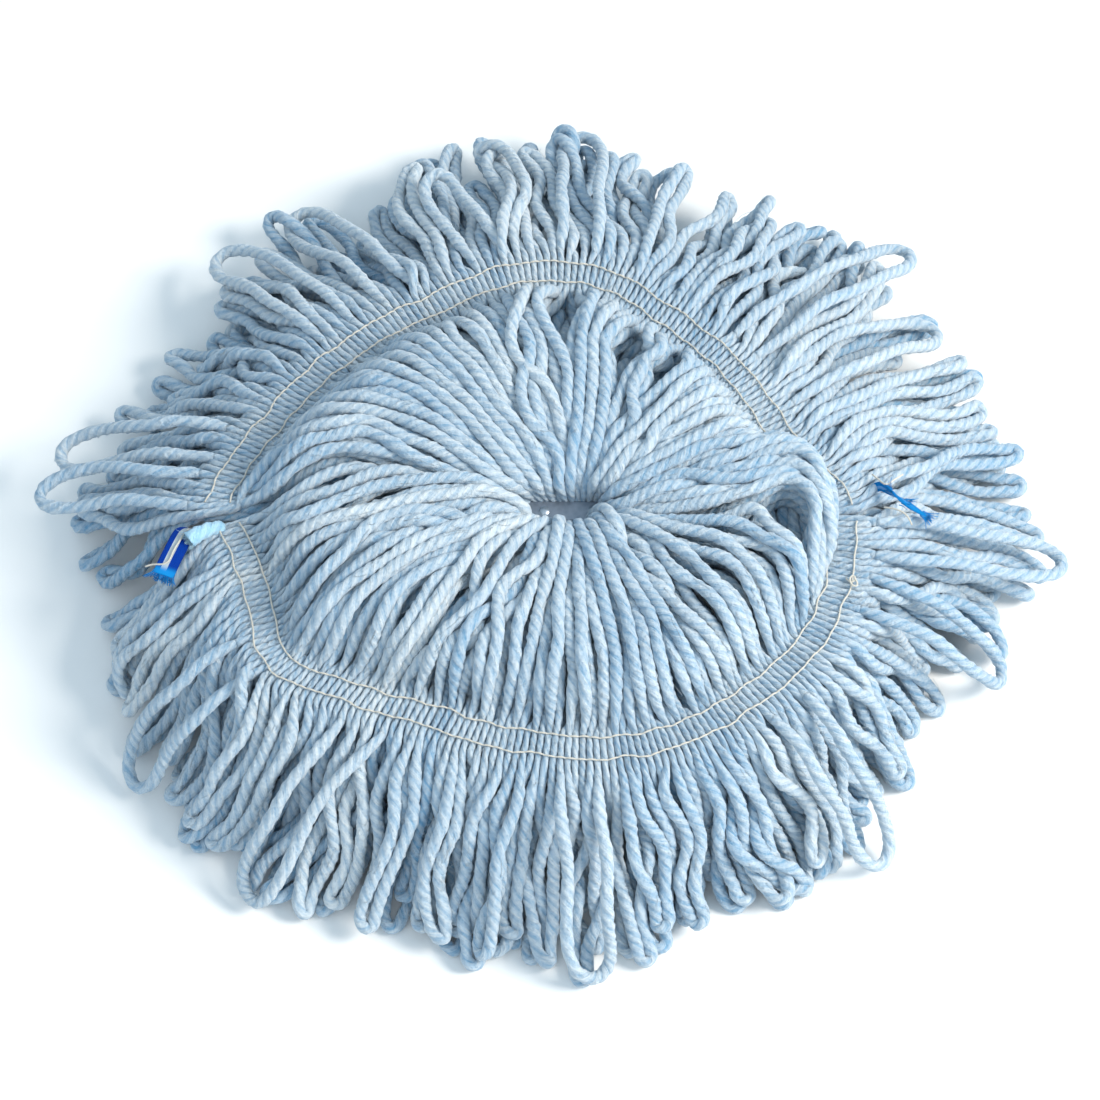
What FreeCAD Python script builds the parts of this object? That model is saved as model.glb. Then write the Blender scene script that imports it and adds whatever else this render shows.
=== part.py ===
"""Round looped string mop head, lying on its socket with the floor side up.

Millimetres, +Z up.  The origin is the centre of the handle socket's mouth, on the surface that
the head stands on.  +Y runs away from the front fan of yarn towards the rear fan, and the clamp
bar that divides the two fans lies along X.

A grey plastic socket takes the handle.  A flat clamp bar, held by two rivets, presses the middle
of the yarn sheet onto the socket's flange.  The yarn leaves both long sides of the bar, rises
over a puffed ring, is pinched flat by two rows of lockstitch through a woven tape, and spreads
into looped tails.  Each fan is built of neighbouring bundles of yarn, and single loops lie free
on top of them.
"""
import FreeCAD, Part
import math
import os

# ---- handle socket -------------------------------------------------------------------------
SOCKET_HEIGHT = 40.0
SOCKET_OUTER_RADIUS = 17.0
BORE_RADIUS = 12.0
BORE_DEPTH = 35.0
FLANGE_RADIUS = 30.0
FLANGE_THICKNESS = 4.0
FLANGE_EDGE_ROUND = 1.2
RIM_CHAMFER = 1.0
RIB_COUNT = 4
RIB_START_ANGLE = 45.0
RIB_THICKNESS = 2.5
RIB_REACH = 27.0
RIB_HEIGHT = 16.0
SCREW_HOLE_RADIUS = 2.0
SCREW_HOLE_HEIGHT = 14.0

# ---- clamp ---------------------------------------------------------------------------------
BAR_LENGTH = 40.0
BAR_WIDTH = 9.0
BAR_THICKNESS = 2.5
BAR_EDGE_CHAMFER = 0.5
BAR_BOTTOM = 56.0
RIVET_SPACING = 19.0
RIVET_SHANK_RADIUS = 1.3
RIVET_HEAD_RADIUS = 2.1
RIVET_HEAD_HEIGHT = 0.7
RIVET_RECESS = 1.2
RIVET_HOLE_CLEARANCE = 0.1
WAIST_LENGTH = 42.0
WAIST_WIDTH = 11.0

# ---- yarn fans -----------------------------------------------------------------------------
YARN_DIAMETER = 5.0
BUNDLES_PER_FAN = 11
BUNDLE_GAP_ANGLE = 0.3
FAN_END_ANGLE = 0.6
ROOT_HALF_LENGTH = 21.3
ROOT_HALF_WIDTH = 5.9
ROOT_CORNER_ANGLE = math.degrees(math.atan2(ROOT_HALF_WIDTH, ROOT_HALF_LENGTH))
BAND_TOP = 57.0
BAND_BOTTOM = 48.0
BAND_INNER_MARGIN = 14.0
BAND_OUTER_MARGIN = 4.0
TIP_INSET = 12.0
SHOULDER_STEP = 2.0
UNDERSIDE_REACH = 0.6
UNDERSIDE_HEIGHT = 44.0
FLANGE_CLEARANCE = 0.5
# Height over the share of the way from the waist to the band, and from the band to the tips.
DOME_PROFILE = [(0.0, 58.5), (0.11, 68.0), (0.38, 78.5), (0.6, 80.0), (0.84, 73.0), (0.96, 61.0)]
TAIL_PROFILE = [
    (0.0, 50.0), (0.25, 45.0), (0.5, 36.0), (0.75, 24.0), (1.0, 11.0), (1.0, 3.0),
    (0.93, 0.0), (0.35, 0.0), (0.1, 28.0)]

# Radius of the outer row of stitches and of the tails' ends, by angle about the origin.
BAND_RADII = [
    (0, 113), (24, 95), (45, 98), (66, 104), (84, 117), (100, 119), (120, 116), (141, 121),
    (160, 129), (180, 144), (183, 133), (198, 131), (211, 135), (222, 122), (238, 109),
    (262, 107), (285, 111), (310, 112), (332, 115), (360, 113)]
TIP_RADII = [
    (0, 190), (30, 186), (50, 195), (70, 192), (95, 203), (120, 200), (150, 194), (175, 204),
    (200, 194), (225, 194), (250, 184), (280, 176), (320, 172), (340, 168), (360, 190)]

# ---- tapes and stitching -------------------------------------------------------------------
ROW_SPACING = 9.5
TAPE_INNER_OFFSET = -11.0
TAPE_OUTER_OFFSET = 1.5
TAPE_THICKNESS = 1.0
TAPE_CLEARANCE = 0.5
THREAD_WIDTH = 1.2
THREAD_THICKNESS = 0.6
TAPE_STEP_ANGLE = 10.0
TAPE_RISER_TOP = 58.8
TAPE_FLAP_BOTTOM = 57.8
LEFT_FLAP_REACH = 23.0
LEFT_FLAP_DRIFT = -12.0
RIGHT_FLAP_END_X = 143.0
RIGHT_FLAP_LOW_Y = (-6.0, -3.0)
RIGHT_FLAP_HIGH_Y = (6.0, 7.0)
CUT_END_START = (-141.0, -4.0, 61.8)
CUT_END_FINISH = (-153.0, -10.0, 61.8)

# ---- free loops of yarn, by the points of their routes ---------------------------------------
LOOP_ROUTES = {
    "left_upper_loop": [
        (-136, 41, 54), (-152, 46, 53), (-168, 46, 47), (-183, 51, 38), (-195, 52, 31),
        (-204, 49, 27), (-205, 41, 27), (-198, 35, 29), (-183, 34, 38), (-167, 33, 48),
        (-153, 29, 53), (-140, 27, 54)],
    "left_lower_loop": [
        (-146, 20, 54), (-161, 20, 54), (-176, 25, 50), (-188, 29, 44), (-199, 29, 39),
        (-209, 26, 35), (-212, 19, 34), (-205, 14, 36), (-192, 12, 41), (-178, 12, 48),
        (-162, 7, 53), (-150, 5, 54)],
    "back_left_outer_loop": [
        (-87, 91, 54), (-96, 105, 53), (-110, 118, 47), (-120, 133, 37), (-132, 144, 27),
        (-142, 147, 22), (-147, 141, 21), (-144, 131, 24), (-131, 121, 36), (-122, 106, 46),
        (-109, 95, 52), (-98, 81, 54)],
    "back_left_inner_loop": [
        (-61, 108, 54), (-73, 120, 53), (-81, 136, 46), (-93, 150, 36), (-101, 163, 26),
        (-111, 168, 20), (-117, 162, 18), (-114, 152, 21), (-105, 138, 34), (-92, 127, 46),
        (-83, 111, 53), (-74, 100, 54)],
    "back_curled_loop": [
        (-24, 123, 54), (-31, 135, 54), (-37, 147, 51), (-43, 156, 47), (-46, 163, 44),
        (-49, 169, 43), (-54, 172, 43), (-59, 168, 42), (-59, 160, 42), (-56, 151, 46),
        (-51, 141, 50), (-45, 131, 53), (-38, 119, 54)],
    "back_middle_loop": [
        (11, 123, 54), (14, 142, 53), (12, 161, 47), (15, 179, 36), (15, 195, 26),
        (10, 206, 20), (2, 206, 19), (-3, 196, 23), (-1, 180, 35), (-3, 162, 47),
        (-1, 142, 52), (-3, 125, 54)],
    "back_right_outer_loop": [
        (75, 74, 54), (90, 86, 53), (102, 103, 50), (120, 116, 40), (132, 131, 29),
        (141, 139, 20), (145, 149, 15), (137, 154, 14), (128, 149, 18), (120, 138, 29),
        (106, 127, 39), (93, 110, 49), (76, 97, 53), (67, 84, 54)],
    "back_right_inner_loop": [
        (89, 52, 54), (104, 65, 53), (122, 76, 48), (136, 90, 37), (149, 98, 24),
        (154, 108, 17), (149, 114, 16), (139, 113, 19), (128, 101, 35), (110, 91, 47),
        (96, 75, 52), (82, 65, 54)],
    "right_middle_loop": [
        (120, -18, 54), (136, -20, 54), (154, -18, 49), (171, -19, 42), (185, -16, 34),
        (196, -11, 28), (197, -3, 26), (189, 2, 28), (173, -1, 39), (155, -3, 48),
        (136, -1, 53), (121, -3, 54)],
    "right_lower_loop": [
        (113, -42, 54), (127, -47, 53), (142, -49, 45), (154, -54, 33), (164, -54, 20),
        (170, -52, 10), (173, -45, 7), (170, -38, 11), (159, -38, 30), (146, -34, 44),
        (131, -32, 52), (117, -27, 54)],
    "front_right_loop": [
        (78, -90, 54), (89, -99, 52), (96, -112, 45), (106, -120, 33), (110, -129, 19),
        (118, -132, 9), (124, -127, 6), (125, -119, 10), (119, -111, 30), (108, -102, 45),
        (100, -89, 53), (91, -80, 54)],
    "front_middle_loop": [
        (-3, -114, 54), (-4, -131, 53), (0, -146, 45), (-1, -160, 33), (-1, -170, 19),
        (3, -177, 9), (11, -178, 6), (17, -171, 10), (14, -160, 31), (15, -145, 44),
        (11, -129, 52), (11, -116, 54)],
    "front_left_loop": [
        (-87, -91, 54), (-96, -103, 52), (-107, -113, 45), (-115, -124, 33), (-124, -130, 18),
        (-127, -138, 9), (-121, -147, 6), (-114, -144, 12), (-104, -133, 32), (-95, -119, 45),
        (-82, -108, 53), (-71, -97, 54)],
    "left_front_loop": [
        (-129, -57, 54), (-141, -63, 53), (-151, -72, 46), (-163, -75, 34), (-170, -81, 19),
        (-173, -88, 9), (-170, -96, 6), (-162, -97, 11), (-155, -90, 31), (-144, -85, 44),
        (-133, -77, 52), (-121, -70, 54)],
}
ARC_SHARE = 0.45


def vector(point):
    """A point as a FreeCAD vector."""
    return FreeCAD.Vector(*point)


def polar(angle, radius, height):
    """The point at this angle in degrees, radius and height."""
    turn = math.radians(angle)
    return FreeCAD.Vector(radius * math.cos(turn), radius * math.sin(turn), height)


def interpolate(table, angle):
    """The table's value at this angle, on the straight line between its two neighbours."""
    for (low, low_value), (high, high_value) in zip(table, table[1:]):
        if low <= angle <= high:
            return low_value + (high_value - low_value) * (angle - low) / (high - low)
    raise ValueError(angle)


def root_radius(angle):
    """Distance to the rectangle around the waist, where a bundle of yarn begins."""
    turn = math.radians(angle)
    along = abs(math.cos(turn)) / ROOT_HALF_LENGTH
    across = abs(math.sin(turn)) / ROOT_HALF_WIDTH
    return 1.0 / max(along, across)


def prism(points, height):
    """A straight prism on a flat outline."""
    outline = Part.makePolygon(points + points[:1])
    return Part.Face(outline).extrude(FreeCAD.Vector(0, 0, height))


# ---- socket, bar, rivets and waist -----------------------------------------------------------
def make_socket():
    """Blind tube with a wide flange on top, gussets under it and a screw hole for the handle."""
    flange_bottom = SOCKET_HEIGHT - FLANGE_THICKNESS
    tube = Part.makeCylinder(SOCKET_OUTER_RADIUS, SOCKET_HEIGHT)
    tube = tube.makeChamfer(RIM_CHAMFER, [edge for edge in tube.Edges if edge.BoundBox.ZMax < RIM_CHAMFER])
    flange = Part.makeCylinder(FLANGE_RADIUS, FLANGE_THICKNESS, FreeCAD.Vector(0, 0, flange_bottom))
    flange = flange.makeFillet(FLANGE_EDGE_ROUND, [edge for edge in flange.Edges if edge.Closed])
    body = tube.fuse(flange)
    inner = SOCKET_OUTER_RADIUS - RIB_THICKNESS
    for index in range(RIB_COUNT):
        corners = [
            FreeCAD.Vector(inner, -RIB_THICKNESS / 2, flange_bottom),
            FreeCAD.Vector(RIB_REACH, -RIB_THICKNESS / 2, flange_bottom),
            FreeCAD.Vector(inner, -RIB_THICKNESS / 2, flange_bottom - RIB_HEIGHT)]
        outline = Part.makePolygon(corners + corners[:1])
        rib = Part.Face(outline).extrude(FreeCAD.Vector(0, RIB_THICKNESS, 0))
        turn = RIB_START_ANGLE + index * 360.0 / RIB_COUNT
        rib.rotate(FreeCAD.Vector(0, 0, 0), FreeCAD.Vector(0, 0, 1), turn)
        body = body.fuse(rib)
    body = body.cut(Part.makeCylinder(BORE_RADIUS, BORE_DEPTH))
    screw_start = FreeCAD.Vector(0, 0, SCREW_HOLE_HEIGHT)
    body = body.cut(Part.makeCylinder(
        SCREW_HOLE_RADIUS, SOCKET_OUTER_RADIUS + RIM_CHAMFER, screw_start, FreeCAD.Vector(0, 1, 0)))
    for x in rivet_places():
        body = body.cut(rivet_hole(x, BORE_DEPTH, SOCKET_HEIGHT))
        recess_radius = RIVET_HEAD_RADIUS + RIVET_HOLE_CLEARANCE
        body = body.cut(Part.makeCylinder(recess_radius, RIVET_RECESS, FreeCAD.Vector(x, 0, BORE_DEPTH)))
    return body.removeSplitter()


def rivet_places():
    """The rivets' places along X."""
    return (-RIVET_SPACING / 2, RIVET_SPACING / 2)


def rivet_hole(x, bottom, top):
    """The clearance hole of the rivet at x."""
    radius = RIVET_SHANK_RADIUS + RIVET_HOLE_CLEARANCE
    return Part.makeCylinder(radius, top - bottom, FreeCAD.Vector(x, 0, bottom))


def make_bar():
    """Flat bar with round ends and broken upper edges."""
    half = BAR_WIDTH / 2
    straight = BAR_LENGTH - BAR_WIDTH
    middle = Part.makeBox(
        straight, BAR_WIDTH, BAR_THICKNESS, FreeCAD.Vector(-straight / 2, -half, BAR_BOTTOM))
    for x in (-straight / 2, straight / 2):
        middle = middle.fuse(Part.makeCylinder(half, BAR_THICKNESS, FreeCAD.Vector(x, 0, BAR_BOTTOM)))
    middle = middle.removeSplitter()
    top = BAR_BOTTOM + BAR_THICKNESS
    upper = [edge for edge in middle.Edges if edge.BoundBox.ZMin > top - BAR_EDGE_CHAMFER]
    bar = middle.makeChamfer(BAR_EDGE_CHAMFER, upper)
    for x in rivet_places():
        bar = bar.cut(rivet_hole(x, BAR_BOTTOM, top))
    return bar


def make_rivets():
    """Two rivets, each a shank with a domed head on the bar and a flat one in the socket's recess."""
    upper_seat = BAR_BOTTOM + BAR_THICKNESS
    lower_seat = BORE_DEPTH + RIVET_RECESS
    dome_radius = (RIVET_HEAD_RADIUS ** 2 + RIVET_HEAD_HEIGHT ** 2) / (2 * RIVET_HEAD_HEIGHT)
    dome_centre = upper_seat + RIVET_HEAD_HEIGHT - dome_radius
    rivets = []
    for x in rivet_places():
        shank = Part.makeCylinder(
            RIVET_SHANK_RADIUS, upper_seat - lower_seat, FreeCAD.Vector(x, 0, lower_seat))
        ball = Part.makeSphere(dome_radius, FreeCAD.Vector(x, 0, dome_centre))
        slab = Part.makeCylinder(RIVET_HEAD_RADIUS, RIVET_HEAD_HEIGHT, FreeCAD.Vector(x, 0, upper_seat))
        lower_head = Part.makeCylinder(
            RIVET_HEAD_RADIUS, RIVET_HEAD_HEIGHT, FreeCAD.Vector(x, 0, lower_seat - RIVET_HEAD_HEIGHT))
        rivets.append(shank.fuse(ball.common(slab)).fuse(lower_head).removeSplitter())
    return Part.makeCompound(rivets)


def make_waist():
    """The flattened middle of the yarn sheet, pressed between the flange and the bar."""
    height = BAR_BOTTOM - SOCKET_HEIGHT
    corner = FreeCAD.Vector(-WAIST_LENGTH / 2, -WAIST_WIDTH / 2, SOCKET_HEIGHT)
    waist = Part.makeBox(WAIST_LENGTH, WAIST_WIDTH, height, corner)
    for x in rivet_places():
        waist = waist.cut(rivet_hole(x, SOCKET_HEIGHT, BAR_BOTTOM))
    return waist


# ---- bundles of yarn ---------------------------------------------------------------------------
def bundle_outline(angle):
    """The fan's closed outline in the upright plane at this angle, from the waist to the tips."""
    root = root_radius(angle)
    band = interpolate(BAND_RADII, angle)
    tip = interpolate(TIP_RADII, angle) - TIP_INSET
    band_start = band - BAND_INNER_MARGIN
    band_end = band + BAND_OUTER_MARGIN
    shoulder = band_end + SHOULDER_STEP
    places = [(root + share * (band_start - root), height) for share, height in DOME_PROFILE]
    places += [(band_start, BAND_TOP), (band_end, BAND_TOP)]
    places += [(shoulder + share * (tip - shoulder), height) for share, height in TAIL_PROFILE]
    places += [(band_end, BAND_BOTTOM), (band_start, BAND_BOTTOM)]
    places += [(UNDERSIDE_REACH * band, UNDERSIDE_HEIGHT)]
    places += [(FLANGE_RADIUS, SOCKET_HEIGHT + FLANGE_CLEARANCE), (root, SOCKET_HEIGHT + FLANGE_CLEARANCE)]
    points = [polar(angle, radius, height) for radius, height in places]
    return Part.makePolygon(points + points[:1])


def make_bundle(start, end):
    """One bundle of yarn between two angles."""
    middle = (start + end) / 2
    outlines = [bundle_outline(angle) for angle in (start, middle, end)]
    return Part.makeLoft(outlines, True, True)


def bundle_angles(fan_start):
    """The angles between a fan's bundles; the first and last meet the waist's corners."""
    inner_count = BUNDLES_PER_FAN - 2
    first = ROOT_CORNER_ANGLE
    step = (180.0 - 2 * first) / inner_count
    inner = [fan_start + first + index * step for index in range(inner_count + 1)]
    return [fan_start + FAN_END_ANGLE] + inner + [fan_start + 180.0 - FAN_END_ANGLE]


def make_fan(name, fan_start):
    """All the bundles of one fan, by node name."""
    angles = bundle_angles(fan_start)
    gap = BUNDLE_GAP_ANGLE / 2
    fan = {}
    for index, (start, end) in enumerate(zip(angles, angles[1:]), start=1):
        fan["%s_yarn_bundle_%02d" % (name, index)] = make_bundle(start + gap, end - gap)
    return fan


# ---- tapes, stitching and the yarn's cut end ---------------------------------------------------
def band_strip(start, end, inner_offset, outer_offset, bottom, thickness):
    """A flat strip that follows the band between two angles, set off from its outer row."""
    steps = round((end - start) / TAPE_STEP_ANGLE)
    angles = [start + (end - start) * index / steps for index in range(steps + 1)]
    edges = []
    for offset in (inner_offset, outer_offset):
        points = [polar(angle, interpolate(BAND_RADII, angle) + offset, bottom) for angle in angles]
        curve = Part.BSplineCurve()
        curve.interpolate(points)
        edges.append(curve.toShape())
    inner, outer = edges
    ends = [
        Part.makeLine(inner.Vertexes[side].Point, outer.Vertexes[side].Point) for side in (0, -1)]
    outline = Part.Wire(Part.__sortEdges__([inner, ends[0], outer, ends[1]]))
    return Part.Face(outline).extrude(FreeCAD.Vector(0, 0, thickness))


def tape_bottom():
    """Height of the tape's lower face, under the pinched yarn."""
    return BAND_BOTTOM - TAPE_CLEARANCE - TAPE_THICKNESS


def tape_riser(angle, side):
    """The upright fold where a tape's end comes up between the two fans."""
    band = interpolate(BAND_RADII, angle)
    inner_x = side * (band + TAPE_INNER_OFFSET)
    outer_x = side * (band + TAPE_OUTER_OFFSET)
    height = TAPE_RISER_TOP - tape_bottom()
    corner = FreeCAD.Vector(min(inner_x, outer_x), -TAPE_THICKNESS / 2, tape_bottom())
    return Part.makeBox(abs(outer_x - inner_x), TAPE_THICKNESS, height, corner)


def make_rear_tape():
    """The rear fan's tape, whose two ends fold up and lie on the yarn."""
    strip = band_strip(0, 180, TAPE_INNER_OFFSET, TAPE_OUTER_OFFSET, tape_bottom(), TAPE_THICKNESS)
    left_band = interpolate(BAND_RADII, 180)
    left_inner = -left_band - TAPE_INNER_OFFSET
    left_outer = -left_band - TAPE_OUTER_OFFSET
    left_flap = prism([
        FreeCAD.Vector(left_inner, TAPE_THICKNESS / 2, TAPE_FLAP_BOTTOM),
        FreeCAD.Vector(left_outer, TAPE_THICKNESS / 2, TAPE_FLAP_BOTTOM),
        FreeCAD.Vector(left_outer + LEFT_FLAP_DRIFT, -LEFT_FLAP_REACH, TAPE_FLAP_BOTTOM),
        FreeCAD.Vector(left_inner + LEFT_FLAP_DRIFT, -LEFT_FLAP_REACH, TAPE_FLAP_BOTTOM)],
        TAPE_THICKNESS)
    right_inner = interpolate(BAND_RADII, 0) + TAPE_INNER_OFFSET
    right_flap = prism([
        FreeCAD.Vector(right_inner, RIGHT_FLAP_LOW_Y[0], TAPE_FLAP_BOTTOM),
        FreeCAD.Vector(RIGHT_FLAP_END_X, RIGHT_FLAP_LOW_Y[1], TAPE_FLAP_BOTTOM),
        FreeCAD.Vector(RIGHT_FLAP_END_X, RIGHT_FLAP_HIGH_Y[1], TAPE_FLAP_BOTTOM),
        FreeCAD.Vector(right_inner, RIGHT_FLAP_HIGH_Y[0], TAPE_FLAP_BOTTOM)],
        TAPE_THICKNESS)
    tape = strip.fuse(tape_riser(180, -1)).fuse(left_flap)
    return tape.fuse(tape_riser(0, 1)).fuse(right_flap).removeSplitter()


def make_front_tape():
    """The front fan's tape, whose ends are cut flush with the band."""
    start = 180 + 2 * FAN_END_ANGLE
    end = 360 - 2 * FAN_END_ANGLE
    return band_strip(start, end, TAPE_INNER_OFFSET, TAPE_OUTER_OFFSET, tape_bottom(), TAPE_THICKNESS)


def make_stitch_row(fan_start, row_offset):
    """The thread that shows on top of one fan along one row of stitches."""
    half = THREAD_WIDTH / 2
    start = fan_start + 2 * FAN_END_ANGLE
    end = fan_start + 180 - 2 * FAN_END_ANGLE
    return band_strip(start, end, row_offset - half, row_offset + half, BAND_TOP, THREAD_THICKNESS)


def make_cut_end():
    """The short cut end of the yarn beside the left end of the rear tape."""
    start = vector(CUT_END_START)
    along = vector(CUT_END_FINISH).sub(start)
    return Part.makeCylinder(YARN_DIAMETER / 2, along.Length, start, along)


# ---- free loops --------------------------------------------------------------------------------
def make_loop(name, route):
    """A tube along straight runs joined by tangent arcs."""
    points = [vector(point) for point in route]
    edges = []
    run_start = points[0]
    radii = []
    for before, corner, after in zip(points, points[1:], points[2:]):
        incoming = corner.sub(before)
        outgoing = after.sub(corner)
        turn = incoming.getAngle(outgoing)
        cut = ARC_SHARE * min(incoming.Length, outgoing.Length)
        radius = cut / math.tan(turn / 2)
        radii.append(radius)
        arc_start = corner.sub(FreeCAD.Vector(incoming).normalize().multiply(cut))
        arc_end = corner.add(FreeCAD.Vector(outgoing).normalize().multiply(cut))
        inward = arc_start.add(arc_end).multiply(0.5).sub(corner).normalize()
        arc_middle = corner.add(inward.multiply(radius / math.cos(turn / 2) - radius))
        edges.append(Part.LineSegment(run_start, arc_start).toShape())
        edges.append(Part.Arc(arc_start, arc_middle, arc_end).toShape())
        run_start = arc_end
    edges.append(Part.LineSegment(run_start, points[-1]).toShape())
    path = Part.Wire(edges)
    section = Part.Wire(Part.makeCircle(YARN_DIAMETER / 2, points[0], points[1].sub(points[0])))
    tube = path.makePipeShell([section], True, False)
    expected = math.pi * YARN_DIAMETER ** 2 / 4 * path.Length
    print("%s: length %.0f, smallest radius %.1f, largest %.0f, volume ratio %.4f"
          % (name, path.Length, min(radii), max(radii), tube.Volume / expected))
    return tube


def main():
    """Build every node and write it to parts/."""
    nodes = {
        "handle_socket": make_socket(),
        "clamp_bar": make_bar(),
        "clamp_rivets": make_rivets(),
        "yarn_waist": make_waist(),
        "rear_tape": make_rear_tape(),
        "front_tape": make_front_tape(),
        "rear_outer_stitching": make_stitch_row(0, 0),
        "rear_inner_stitching": make_stitch_row(0, -ROW_SPACING),
        "front_outer_stitching": make_stitch_row(180, 0),
        "front_inner_stitching": make_stitch_row(180, -ROW_SPACING),
        "yarn_cut_end": make_cut_end(),
    }
    nodes.update(make_fan("rear", 0))
    nodes.update(make_fan("front", 180))
    for name, route in LOOP_ROUTES.items():
        nodes[name] = make_loop(name, route)
    os.makedirs("parts", exist_ok=True)
    for name, shape in nodes.items():
        shape.exportStep("parts/%s.step" % name)
        if not shape.isValid():
            print("not valid:", name)
    print(len(nodes), "nodes")


main()
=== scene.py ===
"""The looks of a round looped string mop head, floor side up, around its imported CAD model.

Metres, +Z up, the model's own frame.  The yarn is laid as chains of points, one chain to a loop:
from the clamp over the puffed ring to the stitched band, out to the loop's tip and back.  A
position-based relaxation settles the chains against each other, the floor and the ring's shape,
and each chain is then skinned as a three-ply twisted yarn.
"""
from collections import defaultdict
from itertools import product
import math

import bpy
import numpy as np
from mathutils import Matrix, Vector
from mathutils.bvhtree import BVHTree


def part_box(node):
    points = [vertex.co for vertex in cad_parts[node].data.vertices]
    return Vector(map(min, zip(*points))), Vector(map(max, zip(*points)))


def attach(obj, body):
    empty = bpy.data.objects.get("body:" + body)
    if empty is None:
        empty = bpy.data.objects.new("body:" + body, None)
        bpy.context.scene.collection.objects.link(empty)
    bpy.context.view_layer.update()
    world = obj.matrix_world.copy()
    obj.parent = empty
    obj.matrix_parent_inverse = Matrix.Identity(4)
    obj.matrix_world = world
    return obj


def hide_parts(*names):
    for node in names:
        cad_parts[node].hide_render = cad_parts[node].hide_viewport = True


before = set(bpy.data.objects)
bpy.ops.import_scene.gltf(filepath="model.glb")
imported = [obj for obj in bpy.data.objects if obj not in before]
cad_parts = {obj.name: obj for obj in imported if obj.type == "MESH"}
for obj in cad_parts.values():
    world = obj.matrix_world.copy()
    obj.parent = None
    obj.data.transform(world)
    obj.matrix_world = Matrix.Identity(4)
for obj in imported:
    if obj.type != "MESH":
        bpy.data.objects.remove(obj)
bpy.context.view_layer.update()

MM = 0.001

# ---- driving sizes
YARN_RADIUS = 2.6 * MM
TAILS_PER_FAN = 130
PLY_COUNT = 3
PLY_PITCH = 16.0 * MM
PLY_REACH = 0.25
POINTS_PER_PLY = 5
RINGS_PER_STEP = 3
BUNDLES_PER_FAN = 11

DOME_POINTS = 34
BAND_POINTS = 4
FRINGE_POINTS = 25

BAND_HALF_HEIGHT = 2.9 * MM
BAND_YARN_RADIUS = 1.47 * MM
BAND_YARN_HEIGHT = 2.86 * MM
UNDER_TAILS_PER_FAN = 84
UNDER_DEPTH = 4.7 * MM
UNDER_YARN_RADIUS = 2.7 * MM
UNDER_YARN_HEIGHT = 1.9 * MM
UNDER_ROOT_RADIUS = 0.9 * MM
UNDER_SHADE = 0.12
BAND_EASE = 17.0 * MM
ROOT_YARN_RADIUS = 1.3 * MM
CONTACT_SHARE = 0.96
SLUB_SHARE = 0.045
SHORT_SHARE = 0.3
ROUGH_SHARE = 0.045
TWIST_DRIFT = 0.9
YARN_TONE = 0.30
TONE_SPREAD = 0.07
LINT_PER_YARN = 60
LINT_TONE = 0.5
LINT_RADIUS = 0.085 * MM
LINT_SWERVE = 1.6 * MM
LINT_RISE = (0.1 * MM, 1.0 * MM)
SLOT_HALF = 4.0 * MM
SLOT_FRONT_HALF = 7.5 * MM
SLOT_LEFT = -15.0 * MM
SLOT_REAR_RIGHT = 13.0 * MM
SLOT_FRONT_RIGHT = 6.5 * MM
FLANGE_RADIUS = 30.0 * MM
THREAD_RADIUS = 0.38 * MM
THREAD_STEP = 0.5 * MM
STITCH_LENGTH = 4.0 * MM
STITCH_RISE = 0.75
STITCH_SINK = 0.45
STITCH_WOBBLE = 0.35 * MM
BAND_BEFORE_ROW = 12.0 * MM
BAND_AFTER_ROW = 3.0 * MM
ROOT_EASE = 20.0 * MM
THREAD_WIDTH = 1.2 * MM
TAPE_HALF = 6.2 * MM
TAPE_THICK = 0.9 * MM
TAPE_INSET = 4.75 * MM
TAPE_END_HALF = 4.3 * MM
TAPE_END_THICK = 1.6 * MM
TWISTED_END_HALF = 1.9 * MM
TWISTED_END_THICK = 1.1 * MM
TIP_HEIGHT = 7.0 * MM
TIP_INSET = 12.0 * MM

# How the yarn strays from its drawn way: sizes of its waves, and the share and gain of strays.
PLAN_POINTS = 80
RADIAL_SHARE = 0.45
LEAN_NOISE = 2.5
RING_WAVE = 2.6 * MM
RING_RIPPLE = 0.9 * MM
RING_HEAVE = 1.2 * MM
STRAY_SHARE = 0.1
STRAY_GAIN = 2.4
LEG_POINTS = 60
LEG_WAVE = 2.0 * MM
LEG_RIPPLE = 1.4 * MM
SWING_WAVE = 2.4
# Beyond CLOSING_START along the bar, the upper yarns close over its ends.
CLOSING_START = 8.5 * MM
CLOSING_REACH = 6 * MM
CLOSING_SHIFT = 5.0 * MM
UPPER_LAYER = 0.45
# The two legs of a loop stand this far off each other, the tip rounds out by TIP_ROUND, tips lie
# this many millimetres up, and a tail leaves the band turned by more than its tip's swing.
LEG_GAP = 0.2 * MM
TIP_ROUND = 2.4 * MM
TIP_LIFT = 6
REAR_TIP_LIFT = 10
LEAVE_TURN = 3
UNDER_SWING = 0.1
# Settling: rounds, rounds between searches for neighbours, and the strength of each step.
ROUNDS = 420
SEARCH_EVERY = 8
SEARCH_MARGIN = 1.2 * MM
SAG = 0.015 * MM
STRAIGHTEN = 0.25
CONTACT_PUSH = 0.3
STRETCH_FIX = 0.8
HOLLOW_PUSH = 0.35

# Floor, sky, lights as (name, place, size, watts, colour) and the camera.
FLOOR_SIZE = 9.0
SKY_COLOUR = (0.66, 0.85, 1.0)
SKY_STRENGTH = 0.78
LIGHTS = [("key", (1.5, -0.25, 1.3), 0.8, 45.0, (1.0, 0.965, 0.9)),
          ("fill", (-0.5, -1.3, 1.5), 1.6, 7.0, (0.95, 0.98, 1.0))]
CAMERA_LENS = 147.3
CAMERA_PLACE = (-0.0072, -0.8956, 1.5788)
CAMERA_AIM = (-0.0072, 0.0044, 0.02)

SEED = 11
RANDOM = np.random.default_rng(SEED)


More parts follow.
